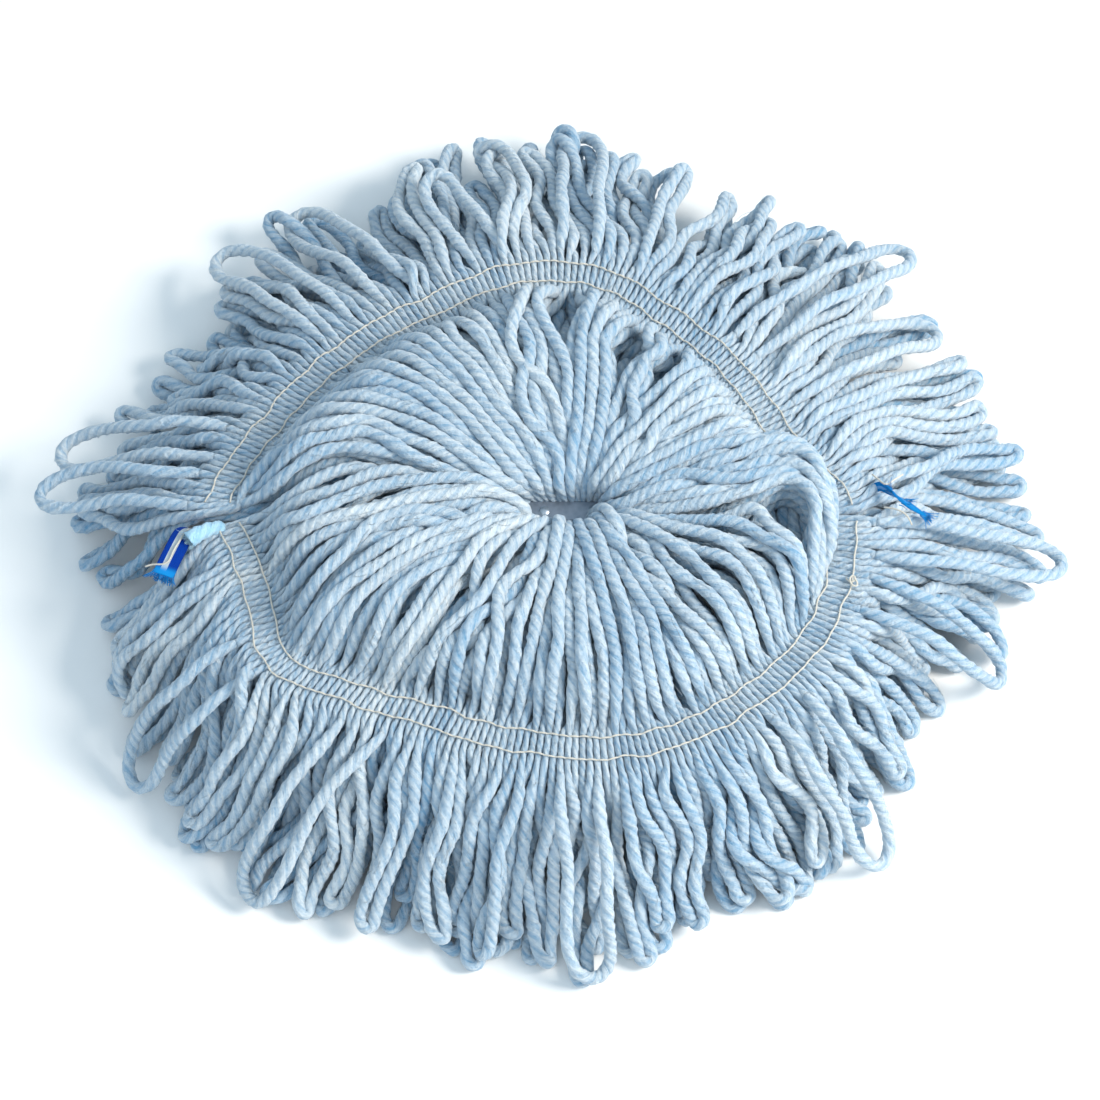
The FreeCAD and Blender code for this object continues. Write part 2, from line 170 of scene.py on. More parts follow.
# ---- what the frame gives
def node_tree(*names):
    """A tree of the CAD nodes' faces, to measure them with rays."""
    corners = []
    faces = []
    for name in names:
        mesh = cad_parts[name].data
        start = len(corners)
        corners += [vertex.co.copy() for vertex in mesh.vertices]
        faces += [[start + index for index in polygon.vertices] for polygon in mesh.polygons]
    return BVHTree.FromPolygons(corners, faces)


def ray_radius(tree, angle, height, inward):
    """Where a level ray through the axis meets the tree, as a distance from the axis."""
    away = Vector((math.cos(angle), math.sin(angle), 0))
    axis = Vector((0, 0, height))
    start = axis + away if inward else axis
    hit = tree.ray_cast(start, -away if inward else away)[0]
    return None if hit is None else (hit - axis).length


def radius_table(tree, height, inward, step=2.0):
    """Angles in radians and the radii that rays find there."""
    angles = []
    radii = []
    for degrees in np.arange(0.0, 360.0, step):
        angle = math.radians(float(degrees))
        radius = ray_radius(tree, angle, height, inward)
        if radius is not None:
            angles.append(angle)
            radii.append(radius)
    return np.array(angles), np.array(radii)


STITCH_LOW, STITCH_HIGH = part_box("rear_outer_stitching")
BAND_TOP = STITCH_LOW.z
BAND_CENTRE = BAND_TOP - BAND_HALF_HEIGHT
BAR_LOW, BAR_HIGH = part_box("clamp_bar")
SOCKET_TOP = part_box("handle_socket")[1].z
WAIST_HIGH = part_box("yarn_waist")[1]
ROW_TREE = node_tree("rear_outer_stitching", "front_outer_stitching")
ROW_ANGLES, ROW_RADII = radius_table(ROW_TREE, (STITCH_LOW.z + STITCH_HIGH.z) / 2, False)
ROW_RADII = ROW_RADII + THREAD_WIDTH / 2
BUNDLE_NAMES = [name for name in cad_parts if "_yarn_bundle_" in name]
TIP_TREE = node_tree(*BUNDLE_NAMES)
TIP_ANGLES, TIP_RADII = radius_table(TIP_TREE, TIP_HEIGHT, True)
TIP_RADII = TIP_RADII + TIP_INSET


def band_radius(angle):
    """Radius of the outer row of stitches at these angles."""
    return np.interp(angle, ROW_ANGLES, ROW_RADII)


# How much shorter than the CAD tails the yarn falls, in millimetres by angle in degrees.
TIP_TRIM = [(0, 0), (12, 0), (22, 5), (33, -9), (46, -3), (60, 9), (70, 7), (78, -4), (87, 1),
            (97, -11), (104, -5), (112, 15), (120, 16), (129, -2), (140, 11), (150, 9), (162, 11),
            (172, 4), (182, 14), (192, 15), (205, 13), (222, 12), (238, 16), (250, 18), (262, 12),
            (275, 11), (290, 17), (300, 10), (312, 15), (325, 13), (340, 18), (350, 13), (360, 0)]


def tip_radius(angle):
    """Radius of the tails' tips at these angles."""
    turn = np.mod(angle, 2 * math.pi)
    radius = np.interp(turn, TIP_ANGLES, TIP_RADII, period=2 * math.pi)
    return radius - np.interp(np.degrees(turn), *zip(*TIP_TRIM)) * MM


def table_value(table, share):
    """Value of a table of (share, millimetres) pairs, in metres."""
    places = [place for place, _ in table]
    values = [value * MM for _, value in table]
    return np.interp(share, places, values)


# ---- the free loops' routes, as control points in millimetres
LOOP_ROUTES_MM = {
    "left_upper_loop": [
        (-136, 41, 54), (-152, 46, 53), (-168, 46, 47), (-183, 51, 38), (-195, 52, 31), (-204, 49, 27),
        (-205, 41, 27), (-198, 35, 29), (-183, 34, 38), (-167, 33, 48), (-153, 29, 53), (-140, 27, 54)],
    "left_lower_loop": [
        (-146, 20, 54), (-161, 20, 54), (-176, 25, 50), (-188, 29, 44), (-199, 29, 39), (-209, 26, 35),
        (-212, 19, 34), (-205, 14, 36), (-192, 12, 41), (-178, 12, 48), (-162, 7, 53), (-150, 5, 54)],
    "back_left_outer_loop": [
        (-87, 91, 54), (-96, 105, 53), (-110, 118, 47), (-120, 133, 37), (-132, 144, 27),
        (-142, 147, 22), (-147, 141, 21), (-144, 131, 24), (-131, 121, 36), (-122, 106, 46),
        (-109, 95, 52), (-98, 81, 54)],
    "back_left_inner_loop": [
        (-61, 108, 54), (-73, 120, 53), (-81, 136, 46), (-93, 150, 36), (-101, 163, 26),
        (-111, 168, 20), (-117, 162, 18), (-114, 152, 21), (-105, 138, 34), (-92, 127, 46),
        (-83, 111, 53), (-74, 100, 54)],
    "back_curled_loop": [
        (-24, 123, 54), (-31, 135, 54), (-37, 147, 51), (-43, 156, 47), (-46, 163, 44), (-49, 169, 43),
        (-54, 172, 43), (-59, 168, 42), (-59, 160, 42), (-56, 151, 46), (-51, 141, 50), (-45, 131, 53),
        (-38, 119, 54)],
    "back_middle_loop": [
        (11, 123, 54), (14, 142, 53), (12, 161, 47), (15, 179, 36), (15, 195, 26), (10, 206, 20),
        (2, 206, 19), (-3, 196, 23), (-1, 180, 35), (-3, 162, 47), (-1, 142, 52), (-3, 125, 54)],
    "back_right_outer_loop": [
        (75, 74, 54), (90, 86, 53), (102, 103, 50), (120, 116, 40), (132, 131, 29), (141, 139, 20),
        (145, 149, 15), (137, 154, 14), (128, 149, 18), (120, 138, 29), (106, 127, 39), (93, 110, 49),
        (76, 97, 53), (67, 84, 54)],
    "back_right_inner_loop": [
        (89, 52, 54), (104, 65, 53), (122, 76, 48), (136, 90, 37), (149, 98, 24), (154, 108, 17),
        (149, 114, 16), (139, 113, 19), (128, 101, 35), (110, 91, 47), (96, 75, 52), (82, 65, 54)],
    "right_middle_loop": [
        (120, -18, 54), (136, -20, 54), (154, -18, 49), (171, -19, 42), (185, -16, 34), (196, -11, 28),
        (197, -3, 26), (189, 2, 28), (173, -1, 39), (155, -3, 48), (136, -1, 53), (121, -3, 54)],
    "right_lower_loop": [
        (113, -42, 54), (127, -47, 53), (142, -49, 45), (154, -54, 33), (164, -54, 20), (170, -52, 10),
        (173, -45, 7), (170, -38, 11), (159, -38, 30), (146, -34, 44), (131, -32, 52), (117, -27, 54)],
    "front_right_loop": [
        (78, -90, 54), (89, -99, 52), (96, -112, 45), (106, -120, 33), (110, -129, 19), (118, -132, 9),
        (124, -127, 6), (125, -119, 10), (119, -111, 30), (108, -102, 45), (100, -89, 53),
        (91, -80, 54)],
    "front_middle_loop": [
        (-3, -114, 54), (-4, -131, 53), (0, -146, 45), (-1, -160, 33), (-1, -170, 19), (3, -177, 9),
        (11, -178, 6), (17, -171, 10), (14, -160, 31), (15, -145, 44), (11, -129, 52), (11, -116, 54)],
    "front_left_loop": [
        (-87, -91, 54), (-96, -103, 52), (-107, -113, 45), (-115, -124, 33), (-124, -130, 18),
        (-127, -138, 9), (-121, -147, 6), (-114, -144, 12), (-104, -133, 32), (-95, -119, 45),
        (-82, -108, 53), (-71, -97, 54)],
    "left_front_loop": [
        (-129, -57, 54), (-141, -63, 53), (-151, -72, 46), (-163, -75, 34), (-170, -81, 19),
        (-173, -88, 9), (-170, -96, 6), (-162, -97, 11), (-155, -90, 31), (-144, -85, 44),
        (-133, -77, 52), (-121, -70, 54)],
}
LOOP_ROUTES = {name: [tuple(value / 1000 for value in point) for point in route]
               for name, route in LOOP_ROUTES_MM.items()}


def spline_line(name, route):
    """Points read from the smooth NURBS line that a route's control points give."""
    curve = bpy.data.curves.new(name + "_line", "CURVE")
    curve.dimensions = "3D"
    curve.resolution_u = 10
    spline = curve.splines.new("NURBS")
    spline.points.add(len(route) - 1)
    for point, place in zip(spline.points, route):
        point.co = (*place, 1.0)
    spline.order_u = 3
    spline.use_endpoint_u = True
    holder = bpy.data.objects.new(name + "_line", curve)
    mesh = bpy.data.meshes.new_from_object(holder)
    line = np.array([vertex.co[:] for vertex in mesh.vertices])
    bpy.data.meshes.remove(mesh)
    bpy.data.objects.remove(holder)
    bpy.data.curves.remove(curve)
    return line


def line_length(line):
    """Length along a line of points."""
    return float(np.linalg.norm(np.diff(line, axis=0), axis=1).sum())


def lengths_along(lines):
    """Distance of each point from its line's start, along the line."""
    steps = np.linalg.norm(np.diff(lines, axis=-2), axis=-1)
    return np.concatenate([np.zeros(steps.shape[:-1] + (1,)), np.cumsum(steps, axis=-1)], axis=-1)


def evenly(lines, count):
    """Each line of points, resampled to count points at even distances along it."""
    along = lengths_along(lines)
    even = np.empty(lines.shape[:-2] + (count, 3))
    for index in np.ndindex(lines.shape[:-2]):
        wanted = np.linspace(0, along[index][-1], count)
        for axis in range(3):
            even[index][:, axis] = np.interp(wanted, along[index], lines[index][:, axis])
    return even


# ---- where each tail starts, crosses the band and ends
# Direction in degrees in which the yarn leaves the clamp, by the angle where it meets the band.
REAR_LEAN = [(0, 22), (25, 28), (45, 33), (65, 47), (80, 76), (90, 95), (100, 109), (120, 121),
             (140, 130), (160, 140), (172, 150), (180, 161)]
FRONT_LEAN = [(180, 164), (196, 174), (212, 194), (232, 223), (252, 248), (270, 272), (290, 294),
              (312, 313), (325, 335), (335, 362), (360, 378)]
# How far the yarn keeps that direction, as a share of the way to the band.
REAR_REACH = [(0, 0.5), (40, 0.45), (90, 0.4), (130, 0.5), (150, 0.6), (180, 0.66)]
FRONT_REACH = [(180, 0.55), (210, 0.5), (250, 0.4), (312, 0.45), (330, 0.85), (350, 0.95), (360, 0.9)]
# How far, in degrees, the yarn comes to the band off the straight line across it.
REAR_ARRIVE = [(0, 0), (20, -8), (60, 0), (120, 0), (140, 14), (160, 32), (180, 34)]
FRONT_ARRIVE = [(180, 14), (215, 10), (250, 0), (300, 0), (315, -12), (328, -48), (345, -62),
                (360, -55)]
# How far, in degrees, the tips swing round from straight out of the band.
REAR_SWING = [(0, 13), (25, 9), (50, 3.5), (90, 0), (130, -1), (160, -4), (180, -2)]
FRONT_SWING = [(180, 5), (190, 9), (205, 10), (225, 8), (245, 3.5), (265, 0), (310, -1), (335, 4),
               (350, 9), (360, 8)]
# How far the yarn keeps the direction in which it comes to the band, as a share of the way.
REAR_LAST = [(0, 0.3), (140, 0.3), (160, 0.42), (180, 0.45)]
FRONT_LAST = [(180, 0.3), (312, 0.3), (328, 0.55), (345, 0.65), (360, 0.6)]
# Openings among the ring's upper yarns, in millimetres: place, half lengths, height and turn.
HOLLOWS = [(85, -9, 11, 14, 59, 0.2), (25, 64, 13, 4, 62, -0.25), (38, 57, 10, 3.5, 62, -0.2),
           (-20, 2, 6, 4, 52, 0), (21, -1, 6, 4, 52, 0), (-103, -8, 7, 4, 58, 0.8),
           (-2, 88, 12, 4, 58, 0.1)]

# Heights in millimetres of the ring's upper and lower yarns, by the share of the way to the band.
RING_UPPER = [(0, 53.5), (0.04, 56.5), (0.1, 62.5), (0.18, 69), (0.3, 74.5), (0.45, 77.2), (0.74, 77.2),
              (0.82, 74.5), (0.885, 67), (0.94, 59), (1, 55)]
RING_LOWER = [(0, 43), (0.1, 43.5), (0.2, 47), (0.35, 56), (0.5, 61), (0.68, 61), (0.8, 55),
              (0.9, 48.5), (1, 53.5)]
LAYER_ORDER = (1.0, 0.35, 0.8, 0.05, 0.55)

# Heights in millimetres of the fringe's upper and lower yarns, by the share of the way to the tip.
FRINGE_UPPER = [(0, 54.1), (0.12, 54.5), (0.3, 51), (0.55, 41.5), (0.8, 27), (1, 15)]
FRINGE_LOWER = [(0, 54.1), (0.12, 51.5), (0.3, 41), (0.55, 25), (0.8, 10), (1, 3)]

# Each fan's name, angles in degrees where it starts and ends, tables and side of the bar.
FANS = [("rear", 1.5, 179.4, (REAR_LEAN, REAR_REACH, REAR_ARRIVE, REAR_LAST, REAR_SWING), 1),
        ("front", 182.6, 359.2, (FRONT_LEAN, FRONT_REACH, FRONT_ARRIVE, FRONT_LAST, FRONT_SWING), -1)]
FAN_LOOPS = {"rear": list(LOOP_ROUTES)[:8], "front": list(LOOP_ROUTES)[8:]}

ROOT_X = WAIST_HIGH.x - 5.5 * MM
ROOT_Y = WAIST_HIGH.y - 0.8 * MM
FREE_POINTS = 2 * FRINGE_POINTS + 1


def wander(rows, columns, row_waves, column_waves, count=5):
    """Smooth noise of about unit size over a grid of rows and columns."""
    row = np.arange(rows)[:, None] / max(rows - 1, 1)
    column = np.arange(columns)[None, :] / max(columns - 1, 1)
    total = np.zeros((rows, columns))
    for _ in range(count):
        turns = row_waves * RANDOM.uniform(0.4, 1.0)
        runs = column_waves * RANDOM.uniform(0.4, 1.0)
        start = RANDOM.uniform(0, 2 * math.pi)
        total += np.sin(2 * math.pi * (turns * row + runs * column) + start)
    return total * math.sqrt(2.0 / count)


def bezier(start, start_handle, end_handle, end, count):
    """Cubic curves between rows of points; each argument is an array of points."""
    share = np.linspace(0, 1, count)[None, :, None]
    return ((1 - share) ** 3 * start[:, None] + 3 * share * (1 - share) ** 2 * start_handle[:, None]
            + 3 * share ** 2 * (1 - share) * end_handle[:, None] + share ** 3 * end[:, None])


def facing(angles):
    """Level unit vectors at these angles."""
    return np.stack([np.cos(angles), np.sin(angles)], axis=1)


def by_angle(table, degrees):
    """Value of a table of (angle in degrees, value) pairs."""
    return np.interp(degrees, *zip(*table))


def crosswise(plan):
    """Level unit vectors square to rows of plan points."""
    return unit(np.gradient(plan, axis=1))[:, :, ::-1] * np.array([-1, 1])


def unit(vectors):
    """The vectors at unit length."""
    return vectors / np.maximum(np.linalg.norm(vectors, axis=-1, keepdims=True), 1e-12)


def eased(distance, reach):
    """From 0 to 1 over the reach, smoothly."""
    share = np.clip(distance / reach, 0, 1)
    return share * share * (3 - 2 * share)


def lay_fan(span, tables, root_side, count, under):
    """Rows of tails of one fan: slot angles, outward normals, and clamp, ring and band points."""
    lean, reach, arrive, last, swing = tables
    fine = np.linspace(*span, 1441)
    edge = band_radius(fine)[:, None] * facing(fine)
    along = lengths_along(edge)
    margin = along[-1] / count / 2 if under else 0
    wanted = np.linspace(margin, along[-1] - margin, count)
    angles = np.interp(wanted, along, fine)
    row = np.stack([np.interp(wanted, along, edge[:, axis]) for axis in (0, 1)], axis=1)
    side = np.gradient(row, axis=0)
    normal = unit(np.stack([side[:, 1], -side[:, 0]], axis=1))
    normal = unit((1 - RADIAL_SHARE) * normal + RADIAL_SHARE * facing(angles))
    degrees = np.degrees(angles)
    index = np.arange(count)
    layer = np.array(LAYER_ORDER)[(index if root_side > 0 else index[::-1]) % len(LAYER_ORDER)]
    layer = np.clip(layer + RANDOM.uniform(-0.08, 0.08, count), 0, 1)
    if under:
        layer = RANDOM.uniform(0, 0.1, count)

    # the ring, from the clamp's middle line to the band
    root_x = root_side * ROOT_X * (1 - 2 * index / (count - 1))
    root = np.stack([root_x, np.full(count, root_side * ROOT_Y)], axis=1)
    band_in = row - normal * BAND_BEFORE_ROW
    way = np.linalg.norm(band_in - root, axis=1)[:, None]
    leave = facing(np.radians(by_angle(lean, degrees) + LEAN_NOISE * wander(count, 1, 9, 0)[:, 0]))
    keep = by_angle(reach, degrees)[:, None]
    come = facing(np.arctan2(normal[:, 1], normal[:, 0]) + np.radians(by_angle(arrive, degrees)))
    end = by_angle(last, degrees)[:, None]
    plan = bezier(root, root + leave * way * keep, band_in - come * way * end, band_in, PLAN_POINTS)
    share = np.linspace(0, 1, PLAN_POINTS)
    swell = np.sin(math.pi * share) ** 0.7
    sideways = (RING_WAVE * wander(count, PLAN_POINTS, 8, 1.2)
                + RING_RIPPLE * wander(count, PLAN_POINTS, 60, 3))
    stray = np.where(RANDOM.random(count) < STRAY_SHARE, STRAY_GAIN, 1.0)
    plan = plan + crosswise(plan) * (sideways * swell * stray[:, None])[:, :, None]
    closing = eased(np.abs(root_x) - CLOSING_START, CLOSING_REACH) * (layer > UPPER_LAYER)
    gather = np.exp(-((share - 0.13) / 0.09) ** 2)
    plan[:, :, 1] -= root_side * CLOSING_SHIFT * closing[:, None] * gather
    upper = table_value(RING_UPPER, share)[None, :]
    lower = table_value(RING_LOWER, share)[None, :]
    height = lower + (upper - lower) * layer[:, None]
    height = height + RING_HEAVE * wander(count, PLAN_POINTS, 12, 1.5) * swell
    ring = np.concatenate([plan, height[:, :, None]], axis=2)
    clamp = np.stack([root_x, np.zeros(count), ring[:, 0, 2]], axis=1)

    # the band, straight across both rows of stitches
    gaps = np.linspace(-BAND_BEFORE_ROW, BAND_AFTER_ROW, BAND_POINTS)
    band = row[:, None] + normal[:, None] * gaps[None, :, None]
    level = BAND_CENTRE - (UNDER_DEPTH if under else 0)
    band = np.concatenate([band, np.full((count, BAND_POINTS, 1), level)], axis=2)
    return {
        "angles": angles, "normal": normal, "layer": layer, "clamp": clamp, "under": under,
        "ring": evenly(ring, DOME_POINTS + 1)[:, :-1], "band": band,
        "swing": np.radians(by_angle(swing, degrees)) * (UNDER_SWING if under else 1)}


def lay_fringe(fan, slots):
    """The free part of each pair of neighbouring tails, from the band to the loop's tip and back."""
    pairs = np.array(slots)
    count = len(pairs)
    angles = fan["angles"][pairs].mean(axis=1)
    swing = np.radians(SWING_WAVE * wander(count, 1, 8, 0)[:, 0] + RANDOM.normal(0, 1.0, count))
    lead = fan["swing"][pairs].mean(axis=1)
    veer = LEAVE_TURN * lead
    tip_angle = angles + swing + lead
    scale = 1 + 0.02 * wander(count, 1, 10, 0)[:, 0] + RANDOM.normal(0, 0.014, count)
    height_share = np.clip(RANDOM.beta(0.9, 0.9, count), 0, 1)
    short = RANDOM.random(count) < SHORT_SHARE
    if fan["under"]:
        height_share = 0.3 * height_share
    else:
        scale -= np.where(short, RANDOM.uniform(0.03, 0.2, count), 0)
        height_share[short] = 0.6 + 0.4 * height_share[short]
    radius = tip_radius(tip_angle) * scale - 1 * MM
    out = facing(tip_angle)
    tip = out * radius[:, None]
    outward = unit(0.75 * out + 0.25 * RANDOM.normal(0, 1, (count, 2)))
    tilt = RANDOM.uniform(-0.9, 0.9, count)
    lift = np.maximum(TIP_LIFT + REAR_TIP_LIFT * np.sin(angles), 0) * MM
    lateral = out[:, ::-1] * np.array([-1, 1])
    free = np.zeros((count, FREE_POINTS, 3))
    share = np.linspace(0, 1, LEG_POINTS)
    drop = (UNDER_DEPTH if fan["under"] else 0) * (1 - share) ** 2
    upper = table_value(FRINGE_UPPER, share) - drop
    lower = table_value(FRINGE_LOWER, share) - drop
    legs = []
    for end in (0, 1):
        slot = pairs[:, end]
        start = fan["band"][slot, -1, :2]
        part = (2 * end - 1) * (YARN_RADIUS + LEG_GAP)
        goal = tip + lateral * (part * np.cos(tilt))[:, None]
        way = np.linalg.norm(goal - start, axis=1)[:, None]
        out_x, out_y = fan["normal"][slot].T
        leave = np.stack([out_x * np.cos(veer) - out_y * np.sin(veer),
                          out_x * np.sin(veer) + out_y * np.cos(veer)], axis=1)
        plan = bezier(start, start + leave * way * 0.4, goal - outward * way * 0.35, goal, LEG_POINTS)
        bend = (LEG_WAVE * wander(count, LEG_POINTS, 9, 1.6)
                + LEG_RIPPLE * wander(count, LEG_POINTS, 45, 2.2))
        plan = plan + crosswise(plan) * (bend * np.sin(math.pi * share))[:, :, None]
        height = lower + (upper - lower) * height_share[:, None]
        height = height + (part * np.sin(tilt))[:, None] * share ** 2 + lift[:, None] * share ** 1.6
        height = np.maximum(height, YARN_RADIUS)
        line = np.concatenate([plan, height[:, :, None]], axis=2)
        legs.append(evenly(line, FRINGE_POINTS + 1)[:, 1:])
    free[:, :FRINGE_POINTS] = legs[0]
    free[:, FRINGE_POINTS + 1:] = legs[1][:, ::-1]
    middle = (legs[0][:, -1] + legs[1][:, -1]) / 2
    middle[:, :2] += outward * TIP_ROUND
    free[:, FRINGE_POINTS] = middle
    return free


# ---- one chain of points to each loop
BAND_FIRST = 1 + DOME_POINTS
FREE_FIRST = BAND_FIRST + BAND_POINTS
FREE_LAST = FREE_FIRST + FREE_POINTS
CHAIN_POINTS = FREE_LAST + FREE_FIRST


def pair_slots(fan, names):
    """The loops of a fan as (name or None, slot, slot), the routed ones first."""
    row = fan["band"][:, -1, :2]
    used = []
    loops = []
    for name in names:
        route = np.array(LOOP_ROUTES[name])
        ends = []
        for end in (route[0], route[-1]):
            gaps = np.linalg.norm(row - end[:2], axis=1)
            gaps[used] = np.inf
            ends.append(int(gaps.argmin()))
            used.append(ends[-1])
        loops.append((name, *ends))
    rest = [slot for slot in range(len(row)) if slot not in used]
    return loops + [(None, first, second) for first, second in zip(rest[::2], rest[1::2])]


def build_chains(fan, names):
    """The chains of a fan, their loops and whether each point is free to move."""
    loops = pair_slots(fan, names)
    fringe = lay_fringe(fan, [loop[1:] for loop in loops])
    chains = np.empty((len(loops), CHAIN_POINTS, 3))
    free = np.ones((len(loops), CHAIN_POINTS), bool)
    for index, (name, first, second) in enumerate(loops):
        legs = [np.concatenate([fan["clamp"][slot][None], fan["ring"][slot], fan["band"][slot]])
                for slot in (first, second)]
        middle = fringe[index]
        if name:
            line = spline_line(name, LOOP_ROUTES[name])
            middle = evenly(line, FREE_POINTS)
            free[index, FREE_FIRST:FREE_LAST] = False
        chains[index] = np.concatenate([legs[0], middle, legs[1][::-1]])
    free[:, :2] = False
    free[:, -2:] = False
    free[:, BAND_FIRST:FREE_FIRST] = False
    free[:, FREE_LAST:FREE_LAST + BAND_POINTS] = False
    return loops, chains, free


def yarn_widths(chains, under):
    """Half width and half height of the yarn at each point, pressed at the clamp and the band."""
    along = lengths_along(chains)
    root = np.minimum(along - along[:, 1:2], along[:, -2:-1] - along)
    bands = [(BAND_FIRST, FREE_FIRST - 1), (FREE_LAST, FREE_LAST + BAND_POINTS - 1)]
    gap = np.full(along.shape, np.inf)
    for first, last in bands:
        before = along[:, first:first + 1] - along
        after = along - along[:, last:last + 1]
        gap = np.minimum(gap, np.maximum(np.maximum(before, after), 0))
    pressed = 1 - eased(gap, BAND_EASE)
    clamped = 1 - eased(root, ROOT_EASE)
    band_wide = np.where(under, UNDER_YARN_RADIUS, BAND_YARN_RADIUS)[:, None]
    band_tall = np.where(under, UNDER_YARN_HEIGHT, BAND_YARN_HEIGHT)[:, None]
    root_radius = np.where(under, UNDER_ROOT_RADIUS, ROOT_YARN_RADIUS)[:, None]
    wide = YARN_RADIUS + (band_wide - YARN_RADIUS) * pressed
    tall = YARN_RADIUS + (band_tall - YARN_RADIUS) * pressed
    squeeze = (root_radius - YARN_RADIUS) * clamped
    return wide + squeeze, tall + squeeze


def near_pairs(points, reach):
    """Pairs of points closer than reach, from a grid of cells of that size."""
    low = points.min(axis=0) - reach
    cell = np.floor((points - low) / reach).astype(np.int64)
    size = cell.max(axis=0) + 3
    key = (cell[:, 0] * size[1] + cell[:, 1]) * size[2] + cell[:, 2]
    order = np.argsort(key, kind="stable")
    ranked = key[order]
    firsts = []
    seconds = []
    for offset in [item for item in product((-1, 0, 1), repeat=3) if item >= (0, 0, 0)]:
        shift = (offset[0] * size[1] + offset[1]) * size[2] + offset[2]
        start = np.searchsorted(ranked, ranked + shift, "left")
        stop = np.searchsorted(ranked, ranked + shift, "right")
        if offset == (0, 0, 0):
            start = np.maximum(start, np.arange(len(ranked)) + 1)
        count = np.maximum(stop - start, 0)
        first = np.repeat(np.arange(len(ranked)), count)
        within = np.arange(len(first)) - np.repeat(np.cumsum(count) - count, count)
        second = np.repeat(start, count) + within
        firsts.append(order[first])
        seconds.append(order[second])
    first = np.concatenate(firsts)
    second = np.concatenate(seconds)
    close = np.linalg.norm(points[first] - points[second], axis=1) < reach
    return first[close], second[close]


def keep_clear(flat, radius, top, ring):
    """Push points out of the floor, the ring's top, the bar's slot and the socket's flange."""
    flat[:, 2] = np.maximum(flat[:, 2], radius)
    flat[:, 2] = np.minimum(flat[:, 2], top)
    x, y, z = flat.T
    reach = np.where(y < 0, SLOT_FRONT_HALF, SLOT_HALF) + radius
    open_above = (x > SLOT_LEFT) & (x < np.where(y > 0, SLOT_REAR_RIGHT, SLOT_FRONT_RIGHT))
    inside = ring & open_above & (np.abs(y) < reach)
    cover = ring & ~open_above & (np.abs(x) < BAR_HIGH.x + radius) & (np.abs(y) < BAR_HIGH.y + radius)
    cover &= z > (BAR_LOW.z + BAR_HIGH.z) / 2
    flat[cover, 2] = np.maximum(z[cover], BAR_HIGH.z + radius[cover])
    flat[inside, 1] = np.where(y[inside] < 0, -reach[inside], reach[inside])
    for centre_x, centre_y, half_x, half_y, height, turn in HOLLOWS:
        from_x = x - centre_x * MM
        from_y = y - centre_y * MM
        along = (from_x * math.cos(turn) + from_y * math.sin(turn)) / (half_x * MM)
        across = (from_y * math.cos(turn) - from_x * math.sin(turn)) / (half_y * MM)
        size = np.maximum(np.hypot(along, across), 1e-3)
        found = ring & (size < 1) & (z > height * MM)
        push = HOLLOW_PUSH * (1 / size[found] - 1)
        flat[found, 0] += from_x[found] * push
        flat[found, 1] += from_y[found] * push
    over = ring & (np.hypot(x, y) < FLANGE_RADIUS + radius) & (z < SOCKET_TOP + radius)
    flat[over, 2] = SOCKET_TOP + radius[over]


def relax(chains, free, wide, rounds):
    """Settle the chains: lengths, smoothness, contact with each other and clearances."""
    count, length = free.shape
    points = chains.copy()
    weight = free.astype(float)
    rest = np.linalg.norm(np.diff(points, axis=1), axis=2)
    bend = np.zeros_like(points)
    bend[:, 1:-1] = points[:, 1:-1] - (points[:, :-2] + points[:, 2:]) / 2
    place = np.arange(length)
    share = np.minimum(place, length - 1 - place) / BAND_FIRST
    ring = np.tile((share < 1) & (share > 1.5 / BAND_FIRST), count)
    top = np.where(share < 1, table_value(RING_UPPER, np.clip(share, 0, 1)) + 1.0 * MM, 1.0)
    top = np.tile(top, count)
    fringe = (place >= FREE_FIRST) & (place < FREE_LAST)
    radius = wide.reshape(-1)
    chain = np.repeat(np.arange(count), length)
    spot = np.tile(place, count)
    flat_weight = weight.reshape(-1)
    moving = flat_weight > 0
    flat = points.reshape(-1, 3)
    for step in range(rounds):
        if step % SEARCH_EVERY == 0:
            first, second = near_pairs(flat, 2 * YARN_RADIUS + SEARCH_MARGIN)
            apart = (chain[first] != chain[second]) | (np.abs(spot[first] - spot[second]) > 3)
            useful = apart & (moving[first] | moving[second])
            first, second = first[useful], second[useful]
            wanted = (radius[first] + radius[second]) * CONTACT_SHARE
        points[:, fringe, 2] -= SAG * weight[:, fringe]
        pull = (points[:, :-2] + points[:, 2:]) / 2 + bend[:, 1:-1] - points[:, 1:-1]
        points[:, 1:-1] += STRAIGHTEN * pull * weight[:, 1:-1, None]
        gap = flat[first] - flat[second]
        size = np.maximum(np.linalg.norm(gap, axis=1), 1e-9)
        push = gap * (np.maximum(wanted - size, 0) / size * CONTACT_PUSH)[:, None]
        share_first = flat_weight[first] / (flat_weight[first] + flat_weight[second])
        for axis in range(3):
            flat[:, axis] += np.bincount(first, push[:, axis] * 2 * share_first, len(flat))
            flat[:, axis] -= np.bincount(second, push[:, axis] * 2 * (1 - share_first), len(flat))
        for start in (0, 1, 0, 1):
            ends = slice(start, length - 1, 2)
            nexts = slice(start + 1, length, 2)
            gap = points[:, nexts] - points[:, ends]
            size = np.linalg.norm(gap, axis=2)
            total = weight[:, nexts] + weight[:, ends]
            fix = (size - rest[:, ends]) / np.maximum(size, 1e-9) / np.maximum(total, 1) * STRETCH_FIX
            points[:, ends] += gap * (fix * weight[:, ends])[..., None]
            points[:, nexts] -= gap * (fix * weight[:, nexts])[..., None]
        held = flat[~moving].copy()
        keep_clear(flat, radius, top, ring)
        flat[~moving] = held
    return points


